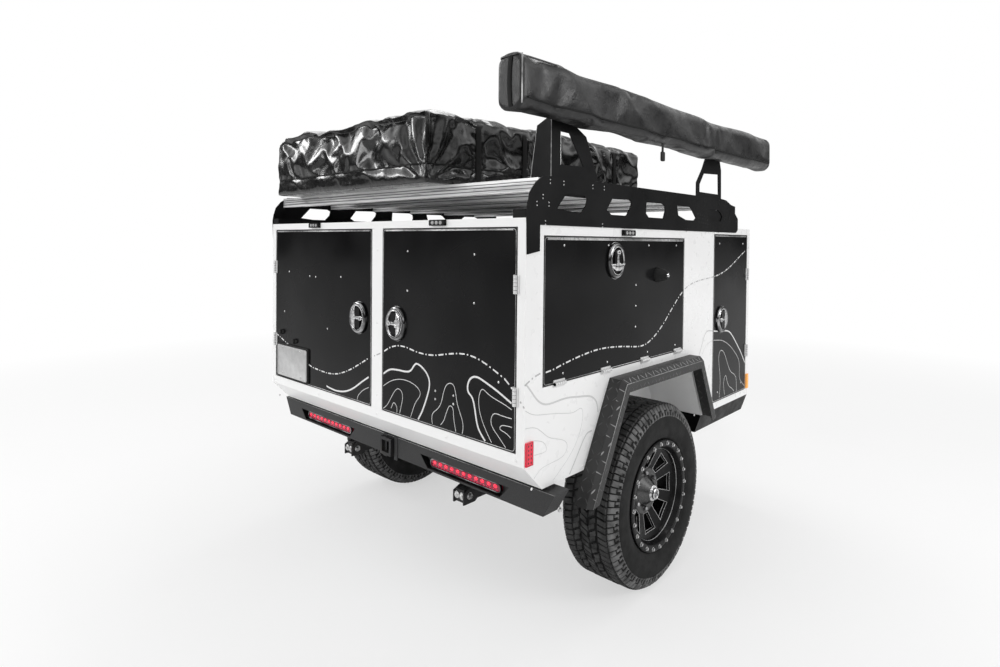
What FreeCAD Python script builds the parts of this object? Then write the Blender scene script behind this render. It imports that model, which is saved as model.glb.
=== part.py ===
"""Off-road camping trailer: a box cabin with galley hatches on a ladder chassis with an A-frame drawbar.

Lengths are millimetres. While the pieces are shaped, X runs forward from the cabin's rear face,
Y runs left from the middle of the cabin and Z runs up from the ground. Each finished piece is then
placed so that the frame's origin lies on the ground under the middle of the trailer's box.
"""
import FreeCAD, Part
import math
import os
import re

import Sketcher

os.makedirs("parts", exist_ok=True)
doc = FreeCAD.newDocument("CampingTrailer")
sheet = doc.addObject("Spreadsheet::Sheet", "Sizes")
names = []
worked_out = {}
finished = []


def sizes(table):
    """Write a table of named sizes into the sheet, one row each."""
    for alias, value in table.items():
        names.append(alias)
        sheet.set("A%d" % len(names), alias)
        sheet.set("B%d" % len(names), str(value))
        sheet.setAlias("B%d" % len(names), alias)
    sheet.recompute()


def derive(table):
    """Note names that stand for a formula of other sizes."""
    worked_out.update(table)


def meaning(word):
    if word[0] in worked_out:
        return "(%s)" % cells(worked_out[word[0]])
    return "Sizes." + word[0] if word[0] in names else word[0]


def cells(text):
    """Turn the sizes named in a formula into references to the sheet."""
    return re.sub(r"[a-z][a-z_]+", meaning, text)


def bind(thing, formulas):
    for prop, text in formulas.items():
        thing.setExpression(prop, cells(text))


def put(thing, place):
    """Bind where a thing stands to three formulas."""
    bind(thing, {"Placement.Base.%s" % way: text for way, text in zip("xyz", place)})
    return thing


TURNED = {
    "z": FreeCAD.Rotation(),
    "y": FreeCAD.Rotation(FreeCAD.Vector(1, 0, 0), -90),
    "x": FreeCAD.Rotation(FreeCAD.Vector(0, 1, 0), 90),
}


def box(name, extent, place):
    solid = doc.addObject("Part::Box", name)
    bind(solid, dict(zip(("Length", "Width", "Height"), extent)))
    return put(solid, place)


def cylinder(name, radius, length, place, along):
    solid = doc.addObject("Part::Cylinder", name)
    solid.Placement.Rotation = TURNED[along]
    bind(solid, {"Radius": radius, "Height": length})
    return put(solid, place)


def cone(name, first, second, length, place, along):
    solid = doc.addObject("Part::Cone", name)
    solid.Placement.Rotation = TURNED[along]
    bind(solid, {"Radius1": first, "Radius2": second, "Height": length})
    return put(solid, place)


def fuse(name, solids):
    joined = doc.addObject("Part::MultiFuse", name)
    joined.Shapes = solids
    joined.Refine = True
    return joined


def cut(name, base, tools):
    result = doc.addObject("Part::Cut", name)
    result.Base = base
    result.Tool = tools[0] if len(tools) == 1 else fuse(name + "_tools", tools)
    result.Refine = True
    return result


def common(name, base, tool):
    result = doc.addObject("Part::Common", name)
    result.Base = base
    result.Tool = tool
    return result


def mirrored(name, source):
    """The same shape on the other side of the cabin's middle plane."""
    other = doc.addObject("Part::Mirroring", name)
    other.Source = source
    other.Normal = (0, 1, 0)
    return other


def plane_of(body, role):
    return next(feature for feature in body.Origin.OriginFeatures if feature.Role == role)


def outline_sketch(body, name, role, outlines, offset):
    """A sketch of closed outlines whose corners are all tied to formulas."""
    sketch = body.newObject("Sketcher::SketchObject", name)
    sketch.AttachmentSupport = [(plane_of(body, role), "")]
    sketch.MapMode = "FlatFace"
    bind(sketch, {"AttachmentOffset.Base.z": offset})
    for outline in outlines:
        first = sketch.GeometryCount
        count = len(outline)
        turns = [2 * math.pi * step / count for step in range(count)]
        spots = [FreeCAD.Vector(math.cos(turn), math.sin(turn), 0) for turn in turns]
        for step in range(count):
            sketch.addGeometry(Part.LineSegment(spots[step], spots[(step + 1) % count]), False)
        for step in range(count):
            following = first + (step + 1) % count
            sketch.addConstraint(Sketcher.Constraint("Coincident", first + step, 2, following, 1))
        for step, (across, up) in enumerate(outline):
            for kind, guess, text in (("DistanceX", spots[step].x, across), ("DistanceY", spots[step].y, up)):
                tied = sketch.addConstraint(Sketcher.Constraint(kind, -1, 1, first + step, 1, guess))
                bind(sketch, {"Constraints[%d]" % tied: text})
    return sketch


def prism(name, role, outlines, length, offset="0", backwards=False):
    """A body padded from outlines; the first is the outside and the others are holes."""
    body = doc.addObject("PartDesign::Body", name)
    sketch = outline_sketch(body, name + "_outline", role, outlines, offset)
    pad = body.newObject("PartDesign::Pad", name + "_pad")
    pad.Profile = sketch
    pad.Reversed = backwards
    bind(pad, {"Length": length})
    return body


def loft(name, role, first, second, first_offset, second_offset):
    """A body with flat sides between two outlines that lie on parallel planes."""
    body = doc.addObject("PartDesign::Body", name)
    start = outline_sketch(body, name + "_start", role, [first], first_offset)
    end = outline_sketch(body, name + "_end", role, [second], second_offset)
    skin = body.newObject("PartDesign::AdditiveLoft", name + "_skin")
    skin.Profile = start
    skin.Sections = [end]
    skin.Ruled = True
    return body


def revolved(name, outline):
    """A body turned about the Y axis; the outline gives (Y, radius) pairs."""
    body = doc.addObject("PartDesign::Body", name)
    sketch = outline_sketch(body, name + "_outline", "YZ_Plane", [outline], "0")
    turn = body.newObject("PartDesign::Revolution", name + "_turn")
    turn.Profile = sketch
    turn.ReferenceAxis = (sketch, ["H_Axis"])
    turn.Angle = 360
    return body


def round_edges(body, name, radius, chosen):
    """Round those edges of a body's last feature that a test picks."""
    doc.recompute([body])
    last = body.Tip
    edges = ["Edge%d" % (index + 1) for index, edge in enumerate(last.Shape.Edges) if chosen(edge)]
    fillet = body.newObject("PartDesign::Fillet", name)
    fillet.Base = (last, edges)
    bind(fillet, {"Radius": radius})
    return body


def straight_along(axis):
    """A test that picks the straight edges along one axis."""
    def test(edge):
        return isinstance(edge.Curve, Part.Line) and abs(edge.Curve.Direction.dot(axis)) > math.cos(math.radians(1))
    return test


ALONG_X = straight_along(FreeCAD.Vector(1, 0, 0))
ALONG_Y = straight_along(FreeCAD.Vector(0, 1, 0))

# Reach of the whole trailer: back to the awning bag, forward to the coupler's nose and out to the
# awning bag on the right and the fender on the left
REACH_SIZES = {
    "awning_tail": 145,
    "body_length": 1895,
    "tongue_length": 1305,
    "awning_depth": 102.7,
    "awning_clear": 0.3,
    "fender_depth": 72,
    "body_width": 1710,
    "tyre_radius": 381.7,
    "axle_share": 0.4388,
}
sizes(REACH_SIZES)
derive({
    "awning_reach": "body_width / 2 + awning_clear + awning_depth",
    "fender_reach": "body_width / 2 + fender_depth",
    "wheel_ahead": "axle_share * body_length",
})
FRAME = ("(awning_tail - body_length - tongue_length) / 2", "(awning_reach - fender_reach) / 2", "0")


def piece(label, solid, place=("0", "0", "0")):
    """Finish a sub-part: name it and set it in the trailer's frame."""
    solid.Label = label
    put(solid, ["%s + %s" % pair for pair in zip(place, FRAME)])
    finished.append(solid)
    return solid


def twin(label, source):
    """Finish the sub-part that mirrors a finished one on the other side."""
    other = mirrored(label, source)
    bind(other, {"Base.y": FRAME[1]})
    other.Label = label
    finished.append(other)
    return other


# Cabin shell
SHELL_SIZES = {
    "slope_run": 95,
    "wall": 30,
    "door_gap": 5,
    "corner_round": 12,
    "overrun": 20,
    "ride_height": 229.3,
    "body_height": 908,
    "slope_rise": 94,
}
sizes(SHELL_SIZES)
derive({
    "body_bottom": "tyre_radius + ride_height",
    "body_top": "body_bottom + body_height",
    "slope_crease": "body_bottom + slope_rise",
})
HALF = "body_width / 2"
INSIDE = "(body_width / 2 - wall)"
SPAN = "(body_width - 2 * wall)"
SLOPE_ANGLE = "atan((slope_crease - body_bottom) / slope_run)"
SLOPE_IN = "wall / sin(%s)" % SLOPE_ANGLE
INNER_CREASE = "(body_bottom + (slope_run + %s - wall) * tan(%s))" % (SLOPE_IN, SLOPE_ANGLE)

# Wheel arch, shared by the side sheets, the wheel wells and the fender flares
ARCH_SIZES = {
    "arch_inset": 20,
    "well_depth": 223,
    "well_wall": 12,
    "rear_lean_share": 0.535,
    "front_lean_share": 0.485,
    "tyre_travel": 158.6,
    "arch_behind": 328.5,
    "arch_ahead": 352.5,
}
sizes(ARCH_SIZES)
derive({
    "arch_top": "2 * tyre_radius + tyre_travel",
    "arch_rear": "wheel_ahead - arch_behind",
    "arch_front": "wheel_ahead + arch_ahead",
})


def arch(inset, rear_foot, front_foot):
    """The trapezoid of the wheel arch, drawn in by an inset, with its two feet at given heights."""
    top = "(arch_top - (%s))" % inset
    rear_top = "arch_rear + (%s) * (sqrt(1 + rear_lean_share ^ 2) - rear_lean_share)" % inset
    front_top = "arch_front - (%s) * (sqrt(1 + front_lean_share ^ 2) - front_lean_share)" % inset
    return [
        ("%s - rear_lean_share * (%s - (%s))" % (rear_top, top, rear_foot), rear_foot),
        (rear_top, top),
        (front_top, top),
        ("%s + front_lean_share * (%s - (%s))" % (front_top, top, front_foot), front_foot),
    ]


BELOW = "body_bottom - overrun"

# Doors and hatches: where each one's own edges are
OPENING_SIZES = {
    "hatch_rear": 97,
    "right_door_inner": 92,
    "left_door_inner": 10,
    "hatch_gap": 329,
    "hatch_above_arch": 36,
    "hatch_drop": 61,
    "arch_to_door": 122.6,
    "door_to_front": 37,
    "side_door_lift": 38,
    "side_door_drop": 37,
    "rear_door_lift": 44,
    "rear_door_drop": 34,
    "rear_door_edge": 40,
}
sizes(OPENING_SIZES)
derive({
    "side_door_bottom": "body_bottom + side_door_lift",
    "side_door_top": "body_top - side_door_drop",
    "side_door_rear": "arch_front + front_lean_share * (arch_top - side_door_bottom) + arch_to_door",
    "side_door_front": "body_length - door_to_front",
    "hatch_front": "side_door_rear - hatch_gap",
    "hatch_bottom": "arch_top + hatch_above_arch",
    "hatch_top": "body_top - hatch_drop",
    "rear_door_bottom": "slope_crease + rear_door_lift",
    "rear_door_top": "body_top - rear_door_drop",
    "rear_door_outer": "body_width / 2 - rear_door_edge",
})


def rectangle(low_x, high_x, low_z, high_z, grow="0"):
    return [
        ("%s - %s" % (low_x, grow), "%s - %s" % (low_z, grow)),
        ("%s + %s" % (high_x, grow), "%s - %s" % (low_z, grow)),
        ("%s + %s" % (high_x, grow), "%s + %s" % (high_z, grow)),
        ("%s - %s" % (low_x, grow), "%s + %s" % (high_z, grow)),
    ]


HATCH = ("hatch_rear", "hatch_front", "hatch_bottom", "hatch_top")
SIDE_DOOR = ("side_door_rear", "side_door_front", "side_door_bottom", "side_door_top")
REAR_DOORS = {
    "right": ("-rear_door_outer", "-right_door_inner", "rear_door_bottom", "rear_door_top"),
    "left": ("-left_door_inner", "rear_door_outer", "rear_door_bottom", "rear_door_top"),
}

# Hinges: a barrel that turns with its door, with one leaf on the door and one on the cabin
HINGE_SIZES = {
    "barrel_radius": 6,
    "barrel_length": 62,
    "barrel_stand": 7,
    "leaf_width": 8,
    "leaf_thick": 3,
    "leaf_clear": 0.3,
    "hatch_hinge_first": 53,
    "low_hinge_share": 0.25,
    "high_hinge_share": 0.75,
    "hatch_hinge_last": 25,
}
sizes(HINGE_SIZES)
HATCH_HINGES = 4
derive({"hatch_hinge_pitch": "(hatch_front - hatch_rear - hatch_hinge_first - hatch_hinge_last - barrel_length) / %d"
        % (HATCH_HINGES - 1)})
DOOR_HINGE_SHARES = ("low_hinge_share", "high_hinge_share")
LEAF = "(door_gap / 2 + leaf_width)"
LEAF_GAP = "sqrt((barrel_radius + leaf_clear) ^ 2 - (barrel_stand - leaf_thick) ^ 2)"


def side_hinge(name, share):
    """An upright hinge at the front edge of the right side door: what turns, then what stays."""
    low = "(side_door_bottom + (side_door_top - side_door_bottom) * %s - barrel_length / 2)" % share
    axis = "(side_door_front + door_gap / 2)"
    face = "-%s - leaf_thick" % HALF
    barrel = cylinder(name + "_barrel", "barrel_radius", "barrel_length", (axis, "-%s - barrel_stand" % HALF, low), "z")
    leaf = box(name + "_leaf", (LEAF, "leaf_thick", "barrel_length"), ("%s - %s" % (axis, LEAF), face, low))
    seat = box(name + "_seat", ("leaf_width", "leaf_thick", "barrel_length"), ("%s + %s" % (axis, LEAF_GAP), face, low))
    return [barrel, leaf], [seat]


def rear_hinge(name, side, share):
    """An upright hinge at the outer edge of a rear door: what turns, then what stays."""
    low = "(rear_door_bottom + (rear_door_top - rear_door_bottom) * %s - barrel_length / 2)" % share
    axis = "(rear_door_outer + door_gap / 2)"
    reach = {"leaf": "%s - %s" % (axis, LEAF), "seat": "%s + %s" % (axis, LEAF_GAP)}
    wide = {"leaf": LEAF, "seat": "leaf_width"}
    solids = {}
    for part in ("leaf", "seat"):
        start = reach[part] if side == "left" else "-(%s) - %s" % (reach[part], wide[part])
        solids[part] = box("%s_%s" % (name, part), ("leaf_thick", wide[part], "barrel_length"),
                           ("-leaf_thick", start, low))
    across = axis if side == "left" else "-" + axis
    barrel = cylinder(name + "_barrel", "barrel_radius", "barrel_length", ("-barrel_stand", across, low), "z")
    return [barrel, solids["leaf"]], [solids["seat"]]


def hatch_hinge(name, step):
    """A flat hinge along the lower edge of the right galley hatch: what turns, then what stays."""
    start = "(hatch_rear + hatch_hinge_first + %d * hatch_hinge_pitch)" % step
    axis = "(hatch_bottom - door_gap / 2)"
    face = "-%s - leaf_thick" % HALF
    barrel = cylinder(name + "_barrel", "barrel_radius", "barrel_length", (start, "-%s - barrel_stand" % HALF, axis), "x")
    leaf = box(name + "_leaf", ("barrel_length", "leaf_thick", LEAF), (start, face, axis))
    seat = box(name + "_seat", ("barrel_length", "leaf_thick", "leaf_width"),
               (start, face, "%s - %s - leaf_width" % (axis, LEAF_GAP)))
    return [barrel, leaf], [seat]


# Paddle latches: an oval dish with the lever in its middle
LATCH_SIZES = {
    "latch_width": 120,
    "latch_height": 136,
    "latch_round": 54,
    "latch_rise": 7,
    "lever_width": 44,
    "lever_height": 88,
    "lever_rise": 13,
}
sizes(LATCH_SIZES)


def latch(name, role, across, up, face, backwards):
    """The oval latch that stands on a door's outer face."""
    def plate(part, width, height, rise):
        return prism(name + part, role, [rectangle(
            "%s - %s / 2" % (across, width), "%s + %s / 2" % (across, width),
            "%s - %s / 2" % (up, height), "%s + %s / 2" % (up, height))], rise, face, backwards)
    dish = plate("_dish", "latch_width", "latch_height", "latch_rise")
    round_edges(dish, name + "_oval", "latch_round", ALONG_X if role == "YZ_Plane" else ALONG_Y)
    return [dish, plate("_lever", "lever_width", "lever_height", "lever_rise")]


# Side sheets, with the openings of the galley hatch and the side door, and the wheel arch
side_blank = prism("side_blank", "XZ_Plane", [[
    ("slope_run + %s" % SLOPE_IN, "body_bottom"),
    ("body_length", "body_bottom"),
    ("body_length", "body_top"),
    ("wall", "body_top"),
    ("wall", INNER_CREASE),
], rectangle(*HATCH, grow="door_gap"), rectangle(*SIDE_DOOR, grow="door_gap")], "wall", INSIDE)
side_arch = prism("side_arch", "XZ_Plane", [arch("arch_inset", BELOW, BELOW)],
                  "wall + 2 * overrun", "%s - overrun" % INSIDE)
hatch_turning, side_turning, side_seats = [], [], []
for step in range(HATCH_HINGES):
    turning, seats = hatch_hinge("hatch_hinge_%d" % step, step)
    hatch_turning += turning
    side_seats += seats
for step, share in enumerate(DOOR_HINGE_SHARES):
    turning, seats = side_hinge("side_hinge_%d" % step, share)
    side_turning += turning
    side_seats += seats
side = fuse("side_sheet", [cut("side_cut", side_blank, [side_arch])] + side_seats)
twin("body_side_left", piece("body_side_right", side))

# Galley hatch: a flat panel that folds down, with a latch and a conical rubber bump stop
HATCH_FITTING_SIZES = {
    "stop_radius": 30,
    "stop_tip": 17,
    "stop_rise": 48,
    "hatch_latch_down": 87,
    "stop_behind": 240,
    "stop_up_share": 0.694,
    "latch_ahead_share": 0.4304,
}
sizes(HATCH_FITTING_SIZES)
derive({
    "stop_ahead": "hatch_front - hatch_rear - stop_behind",
    "stop_up": "stop_up_share * (hatch_top - hatch_bottom)",
    "hatch_latch_ahead": "latch_ahead_share * (hatch_front - hatch_rear)",
})
hatch_panel = prism("hatch_panel", "XZ_Plane", [rectangle(*HATCH)], "wall", INSIDE)
round_edges(hatch_panel, "hatch_corners", "corner_round", ALONG_Y)
hatch_stop = cone("hatch_stop", "stop_tip", "stop_radius", "stop_rise",
                  ("hatch_rear + stop_ahead", "-%s - stop_rise" % HALF, "hatch_bottom + stop_up"), "y")
hatch_latch = latch("hatch_latch", "XZ_Plane", "(hatch_rear + hatch_latch_ahead)", "(hatch_top - hatch_latch_down)",
                    HALF, False)
hatch = fuse("hatch_shape", [hatch_panel, hatch_stop] + hatch_latch + hatch_turning)
twin("galley_hatch_left", piece("galley_hatch_right", hatch))

# Side doors, hinged on their front edges
SIDE_LATCH_SIZES = {
    "side_latch_ahead": 92,
    "side_latch_up_share": 0.4898,
}
sizes(SIDE_LATCH_SIZES)
derive({
    "side_latch_up": "side_latch_up_share * (side_door_top - side_door_bottom)",
})
side_door_panel = prism("side_door_panel", "XZ_Plane", [rectangle(*SIDE_DOOR)], "wall", INSIDE)
round_edges(side_door_panel, "side_door_corners", "corner_round", ALONG_Y)
side_door_latch = latch("side_latch", "XZ_Plane", "(side_door_rear + side_latch_ahead)",
                        "(side_door_bottom + side_latch_up)", HALF, False)
side_door = fuse("side_door_shape", [side_door_panel] + side_door_latch + side_turning)
twin("side_door_left", piece("side_door_right", side_door))

# Rear frame: the face round the two rear doors, folded under into the departure slope
rear_blank = prism("rear_blank", "XZ_Plane", [[
    ("0", "slope_crease"),
    ("slope_run", "body_bottom"),
    ("slope_run + %s" % SLOPE_IN, "body_bottom"),
    ("wall", INNER_CREASE),
    ("wall", "body_top"),
    ("0", "body_top"),
]], "body_width", "-" + HALF)
rear_holes = [prism("%s_hole" % side, "YZ_Plane", [rectangle(*door, grow="door_gap")],
                    "wall + 2 * overrun", "-overrun") for side, door in REAR_DOORS.items()]
rear_turning = {"right": [], "left": []}
rear_seats = []
for side in REAR_DOORS:
    for step, share in enumerate(DOOR_HINGE_SHARES):
        turning, seats = rear_hinge("%s_hinge_%d" % (side, step), side, share)
        rear_turning[side] += turning
        rear_seats += seats
piece("rear_frame", fuse("rear_shape", [cut("rear_cut", rear_blank, rear_holes)] + rear_seats))

# Rear doors: the left one is wider, and each has its latch beside the middle post
REAR_LATCH_SIZES = {
    "rear_latch_inset": 90,
    "rear_latch_up_share": 0.4905,
}
sizes(REAR_LATCH_SIZES)
derive({
    "rear_latch_up": "rear_latch_up_share * (rear_door_top - rear_door_bottom)",
})
LATCH_ACROSS = {"right": "(-right_door_inner - rear_latch_inset)", "left": "(rear_latch_inset - left_door_inner)"}
for side, door in REAR_DOORS.items():
    panel = prism("%s_door_panel" % side, "YZ_Plane", [rectangle(*door)], "wall")
    round_edges(panel, "%s_door_corners" % side, "corner_round", ALONG_X)
    door_latch = latch("%s_latch" % side, "YZ_Plane", LATCH_ACROSS[side], "(rear_door_bottom + rear_latch_up)",
                       "0", True)
    piece("rear_door_%s" % side, fuse("%s_door_shape" % side, [panel] + door_latch + rear_turning[side]))

# Front wall and roof close the box between the side sheets
FRONT_PLACE = ("body_length - wall", "-" + INSIDE, "body_bottom")
piece("front_wall", box("front_blank", ("wall", SPAN, "body_top - body_bottom"), FRONT_PLACE), FRONT_PLACE)
ROOF_PLACE = ("wall", "-" + INSIDE, "body_top - wall")
piece("roof_panel", box("roof_blank", ("body_length - 2 * wall", SPAN, "wall"), ROOF_PLACE), ROOF_PLACE)

# Floor, notched on both sides for the wheel wells
WELL_SPAN = "(well_depth + well_wall)"
floor_blank = prism("floor_blank", "XZ_Plane", [[
    ("slope_run + %s" % SLOPE_IN, "body_bottom"),
    ("body_length - wall", "body_bottom"),
    ("body_length - wall", "body_bottom + wall"),
    ("slope_run + %s - wall / tan(%s)" % (SLOPE_IN, SLOPE_ANGLE), "body_bottom + wall"),
]], SPAN, "-" + INSIDE)
floor_notch = prism("floor_notch", "XZ_Plane", [arch("(arch_inset - well_wall)", BELOW, BELOW)],
                    "%s + overrun" % WELL_SPAN, "%s - %s" % (INSIDE, WELL_SPAN))
piece("floor_panel", cut("floor_cut", floor_blank, [floor_notch, mirrored("floor_notch_left", floor_notch)]))

# Wheel wells: a trapezoid tunnel over each tyre, closed on its inner side
well_block = prism("well_block", "XZ_Plane", [arch("(arch_inset - well_wall)", "body_bottom", "body_bottom")],
                   WELL_SPAN, "%s - %s" % (INSIDE, WELL_SPAN))
well_space = prism("well_space", "XZ_Plane", [arch("arch_inset", BELOW, BELOW)],
                   "well_depth + overrun", "%s - well_depth" % INSIDE)
twin("wheel_well_left", piece("wheel_well_right", cut("well_shape", well_block, [well_space])))

# Fender flares: plate folded round the arch, with a bevelled outer edge and a deep lip
FENDER_SIZES = {
    "fender_bevel": 20,
    "fender_drop": 16,
    "fender_lip": 49,
    "fender_sheet": 4,
    "fender_foot": 111,
}
sizes(FENDER_SIZES)
REAR_FOOT = "(body_bottom - fender_foot)"
FOLD = "(fender_reach - fender_bevel)"
FENDER_DEPTH = "(fender_reach - body_width / 2)"
FENDER_BELOW = (REAR_FOOT + " - overrun", BELOW)
fender_block = prism("fender_block", "XZ_Plane", [arch("0", REAR_FOOT, "body_bottom")],
                     "%s - %s" % (FOLD, HALF), HALF)
fender_edge = loft("fender_edge", "XZ_Plane", arch("0", REAR_FOOT, "body_bottom"),
                   arch("fender_drop", REAR_FOOT, "body_bottom"), FOLD, "fender_reach")
fender_room = prism("fender_room", "XZ_Plane", [arch("fender_sheet", *FENDER_BELOW)],
                    "%s - %s - fender_sheet" % (FOLD, HALF), HALF)
fender_bevel_room = prism("fender_bevel_room", "XZ_Plane", [arch("(fender_drop + fender_sheet)", *FENDER_BELOW)],
                          "%s - fender_sheet" % FENDER_DEPTH, HALF)
fender_window = prism("fender_window", "XZ_Plane", [arch("fender_lip", *FENDER_BELOW)],
                      "%s + overrun" % FENDER_DEPTH, HALF)
fender = cut("fender_shape", fuse("fender_solid", [fender_block, fender_edge]),
             [fender_room, fender_bevel_room, fender_window])
twin("fender_left", piece("fender_right", fender))

# Wheels: where the axle crosses, and the tyre's and rim's sections as (Y, radius) pairs. Four grooves
# run round the tread
WHEEL_SIZES = {
    "tread_half": 100,
    "tyre_half": 130,
    "tyre_bulge_radius": 305,
    "tyre_wall": 15,
    "shoulder_round": 24,
    "rim_half": 118,
    "rim_flange_radius": 228,
    "rim_flange": 12,
    "rim_seat_radius": 216,
    "rim_drop_radius": 196,
    "rim_drop_half": 52,
    "rim_skin": 8,
    "seat_clear": 0.3,
    "wheel_inset": 77,
    "groove_in": 19,
    "groove_out": 55,
    "groove_width": 7,
    "groove_depth": 9,
}
sizes(WHEEL_SIZES)
derive({
    "wheel_centre": "body_width / 2 - wheel_inset",
})
WHEEL_PLACE = ("wheel_ahead", "-wheel_centre", "tyre_radius")
BEAD = "(rim_half - rim_flange - seat_clear)"
SEAT = "rim_seat_radius + seat_clear"
GROOVES = []
for middle in ("-groove_out", "-groove_in", "groove_in", "groove_out"):
    GROOVES += [
        (middle + " - groove_width / 2", "tyre_radius"),
        (middle + " - groove_width / 2", "tyre_radius - groove_depth"),
        (middle + " + groove_width / 2", "tyre_radius - groove_depth"),
        (middle + " + groove_width / 2", "tyre_radius"),
    ]
tyre = revolved("tyre_body", [
    ("-" + BEAD, SEAT),
    ("-" + BEAD, "rim_flange_radius + seat_clear"),
    ("-rim_half", "rim_flange_radius + rim_skin"),
    ("-tyre_half", "tyre_bulge_radius"),
    ("-tread_half", "tyre_radius"),
] + GROOVES + [
    ("tread_half", "tyre_radius"),
    ("tyre_half", "tyre_bulge_radius"),
    ("rim_half", "rim_flange_radius + rim_skin"),
    (BEAD, "rim_flange_radius + seat_clear"),
    (BEAD, SEAT),
    ("%s - tyre_wall" % BEAD, SEAT),
    ("rim_half - tyre_wall", "rim_flange_radius + rim_skin + tyre_wall"),
    ("tyre_half - tyre_wall", "tyre_bulge_radius"),
    ("tread_half - tyre_wall", "tyre_radius - tyre_wall"),
    ("tyre_wall - tread_half", "tyre_radius - tyre_wall"),
    ("tyre_wall - tyre_half", "tyre_bulge_radius"),
    ("tyre_wall - rim_half", "rim_flange_radius + rim_skin + tyre_wall"),
    ("tyre_wall - %s" % BEAD, SEAT),
])


def shoulder(edge):
    """A test that picks the two rings where the tread meets the sidewalls."""
    ring = edge.Curve
    return (isinstance(ring, Part.Circle) and abs(ring.Radius - sheet.tyre_radius) < sheet.seat_clear
            and abs(ring.Center.y) > sheet.tread_half - sheet.seat_clear)


round_edges(tyre, "tyre_shoulders", "shoulder_round", shoulder)
twin("tyre_left", piece("tyre_right", tyre, WHEEL_PLACE))

# Rim: a bead-lock style ring, a dished face with eight windows and a hub with a conical cap
RIM_SIZES = {
    "spindle_radius": 20,
    "hub_radius": 72,
    "hub_back": 30,
    "face_depth": 34,
    "face_thick": 12,
    "ring_inner_radius": 201,
    "cap_radius": 30,
    "cap_end": 88,
    "cone_radius": 64,
    "cone_foot": 50,
    "cap_wall": 14,
    "window_inner": 96,
    "window_outer": 166,
    "window_inner_half": 19,
    "window_outer_half": 42,
}
sizes(RIM_SIZES)
WINDOWS = 8
FACE = "(rim_half - face_depth)"
rim = revolved("rim_body", [
    ("-rim_half", "ring_inner_radius"),
    ("-rim_half", "rim_flange_radius"),
    ("rim_flange - rim_half", "rim_flange_radius"),
    ("rim_flange - rim_half", "rim_seat_radius"),
    ("-rim_drop_half - rim_flange", "rim_seat_radius"),
    ("-rim_drop_half", "rim_drop_radius"),
    ("rim_drop_half", "rim_drop_radius"),
    ("rim_drop_half + rim_flange", "rim_seat_radius"),
    ("rim_half - rim_flange", "rim_seat_radius"),
    ("rim_half - rim_flange", "rim_flange_radius"),
    ("rim_half", "rim_flange_radius"),
    ("rim_half", "rim_seat_radius - rim_skin"),
    ("rim_drop_half + rim_flange", "rim_seat_radius - rim_skin"),
    ("rim_drop_half", "rim_drop_radius - rim_skin"),
    ("face_thick - %s" % FACE, "rim_drop_radius - rim_skin"),
    ("-cone_foot + face_thick", "hub_radius + face_thick"),
    ("-cone_foot + face_thick", "hub_radius"),
    ("hub_back", "hub_radius"),
    ("hub_back", "spindle_radius + seat_clear"),
    ("cap_wall - cap_end", "spindle_radius + seat_clear"),
    ("cap_wall - cap_end", "0"),
    ("-cap_end", "0"),
    ("-cap_end", "cap_radius"),
    ("-cone_foot", "cone_radius"),
    ("-cone_foot", "hub_radius + face_thick"),
    ("-" + FACE, "rim_drop_radius - rim_skin"),
])
doc.recompute([rim])
window_outline = outline_sketch(rim, "rim_window_outline", "XZ_Plane", [[
    ("-window_inner_half", "window_inner"),
    ("window_inner_half", "window_inner"),
    ("window_outer_half", "window_outer"),
    ("-window_outer_half", "window_outer"),
]], "0")
window = rim.newObject("PartDesign::Pocket", "rim_window")
window.Profile = window_outline
window.Type = "ThroughAll"
window.Midplane = True
windows = rim.newObject("PartDesign::PolarPattern", "rim_windows")
windows.Originals = [window]
windows.Axis = (window_outline, ["N_Axis"])
windows.Angle = 360
windows.Occurrences = WINDOWS
rim.Tip = windows
twin("rim_left", piece("rim_right", rim, WHEEL_PLACE))

# Beam axle: a square tube with a round spindle and a brake backing plate at each end
AXLE_SIZES = {
    "axle_tube": 60,
    "backing_radius": 150,
    "backing_thick": 10,
    "axle_set": 188,
}
sizes(AXLE_SIZES)
derive({
    "axle_half": "wheel_centre - axle_set",
})
SPINDLE_END = "(wheel_centre + cap_end - cap_wall - door_gap)"
axle_solids = [
    box("axle_bar", ("axle_tube", "2 * axle_half", "axle_tube"),
        ("wheel_ahead - axle_tube / 2", "-axle_half", "tyre_radius - axle_tube / 2")),
    cylinder("spindle", "spindle_radius", "2 * " + SPINDLE_END, ("wheel_ahead", "-" + SPINDLE_END, "tyre_radius"), "y"),
    cylinder("backing_left", "backing_radius", "backing_thick", ("wheel_ahead", "axle_half", "tyre_radius"), "y"),
    cylinder("backing_right", "backing_radius", "backing_thick",
             ("wheel_ahead", "-axle_half - backing_thick", "tyre_radius"), "y"),
]
piece("axle_beam", fuse("axle_shape", axle_solids))

# Chassis: two rails with crossmembers and an A-frame drawbar
CHASSIS_SIZES = {
    "rail_inset": 405,
    "rail_width": 50,
    "rail_height": 80,
    "cross_width": 50,
    "rear_cross_ahead": 152,
    "inner_cross_ahead": 353,
    "drawbar_end_out": 42,
    "nose_length": 150,
    "rear_cross_inset": 55,
    "cross_past_wheel": 429.5,
    "drawbar_gap": 219,
    "drawbar_inset": 47,
    "coupler_overhang": 155,
    "bumper_depth": 50,
}
sizes(CHASSIS_SIZES)
derive({
    "rail_centre": "body_width / 2 - rail_inset",
    "rear_cross_half": "body_width / 2 - rear_cross_inset",
    "middle_cross_ahead": "wheel_ahead + cross_past_wheel",
    "drawbar_start": "middle_cross_ahead + drawbar_gap",
    "drawbar_start_out": "rail_centre - drawbar_inset",
    "drawbar_length": "tongue_length - coupler_overhang",
    "bumper_rear": "rear_cross_ahead - bumper_depth",
})
RAIL_Z = "(body_bottom - rail_height)"
RAIL_START = "(rear_cross_ahead + cross_width)"
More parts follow.
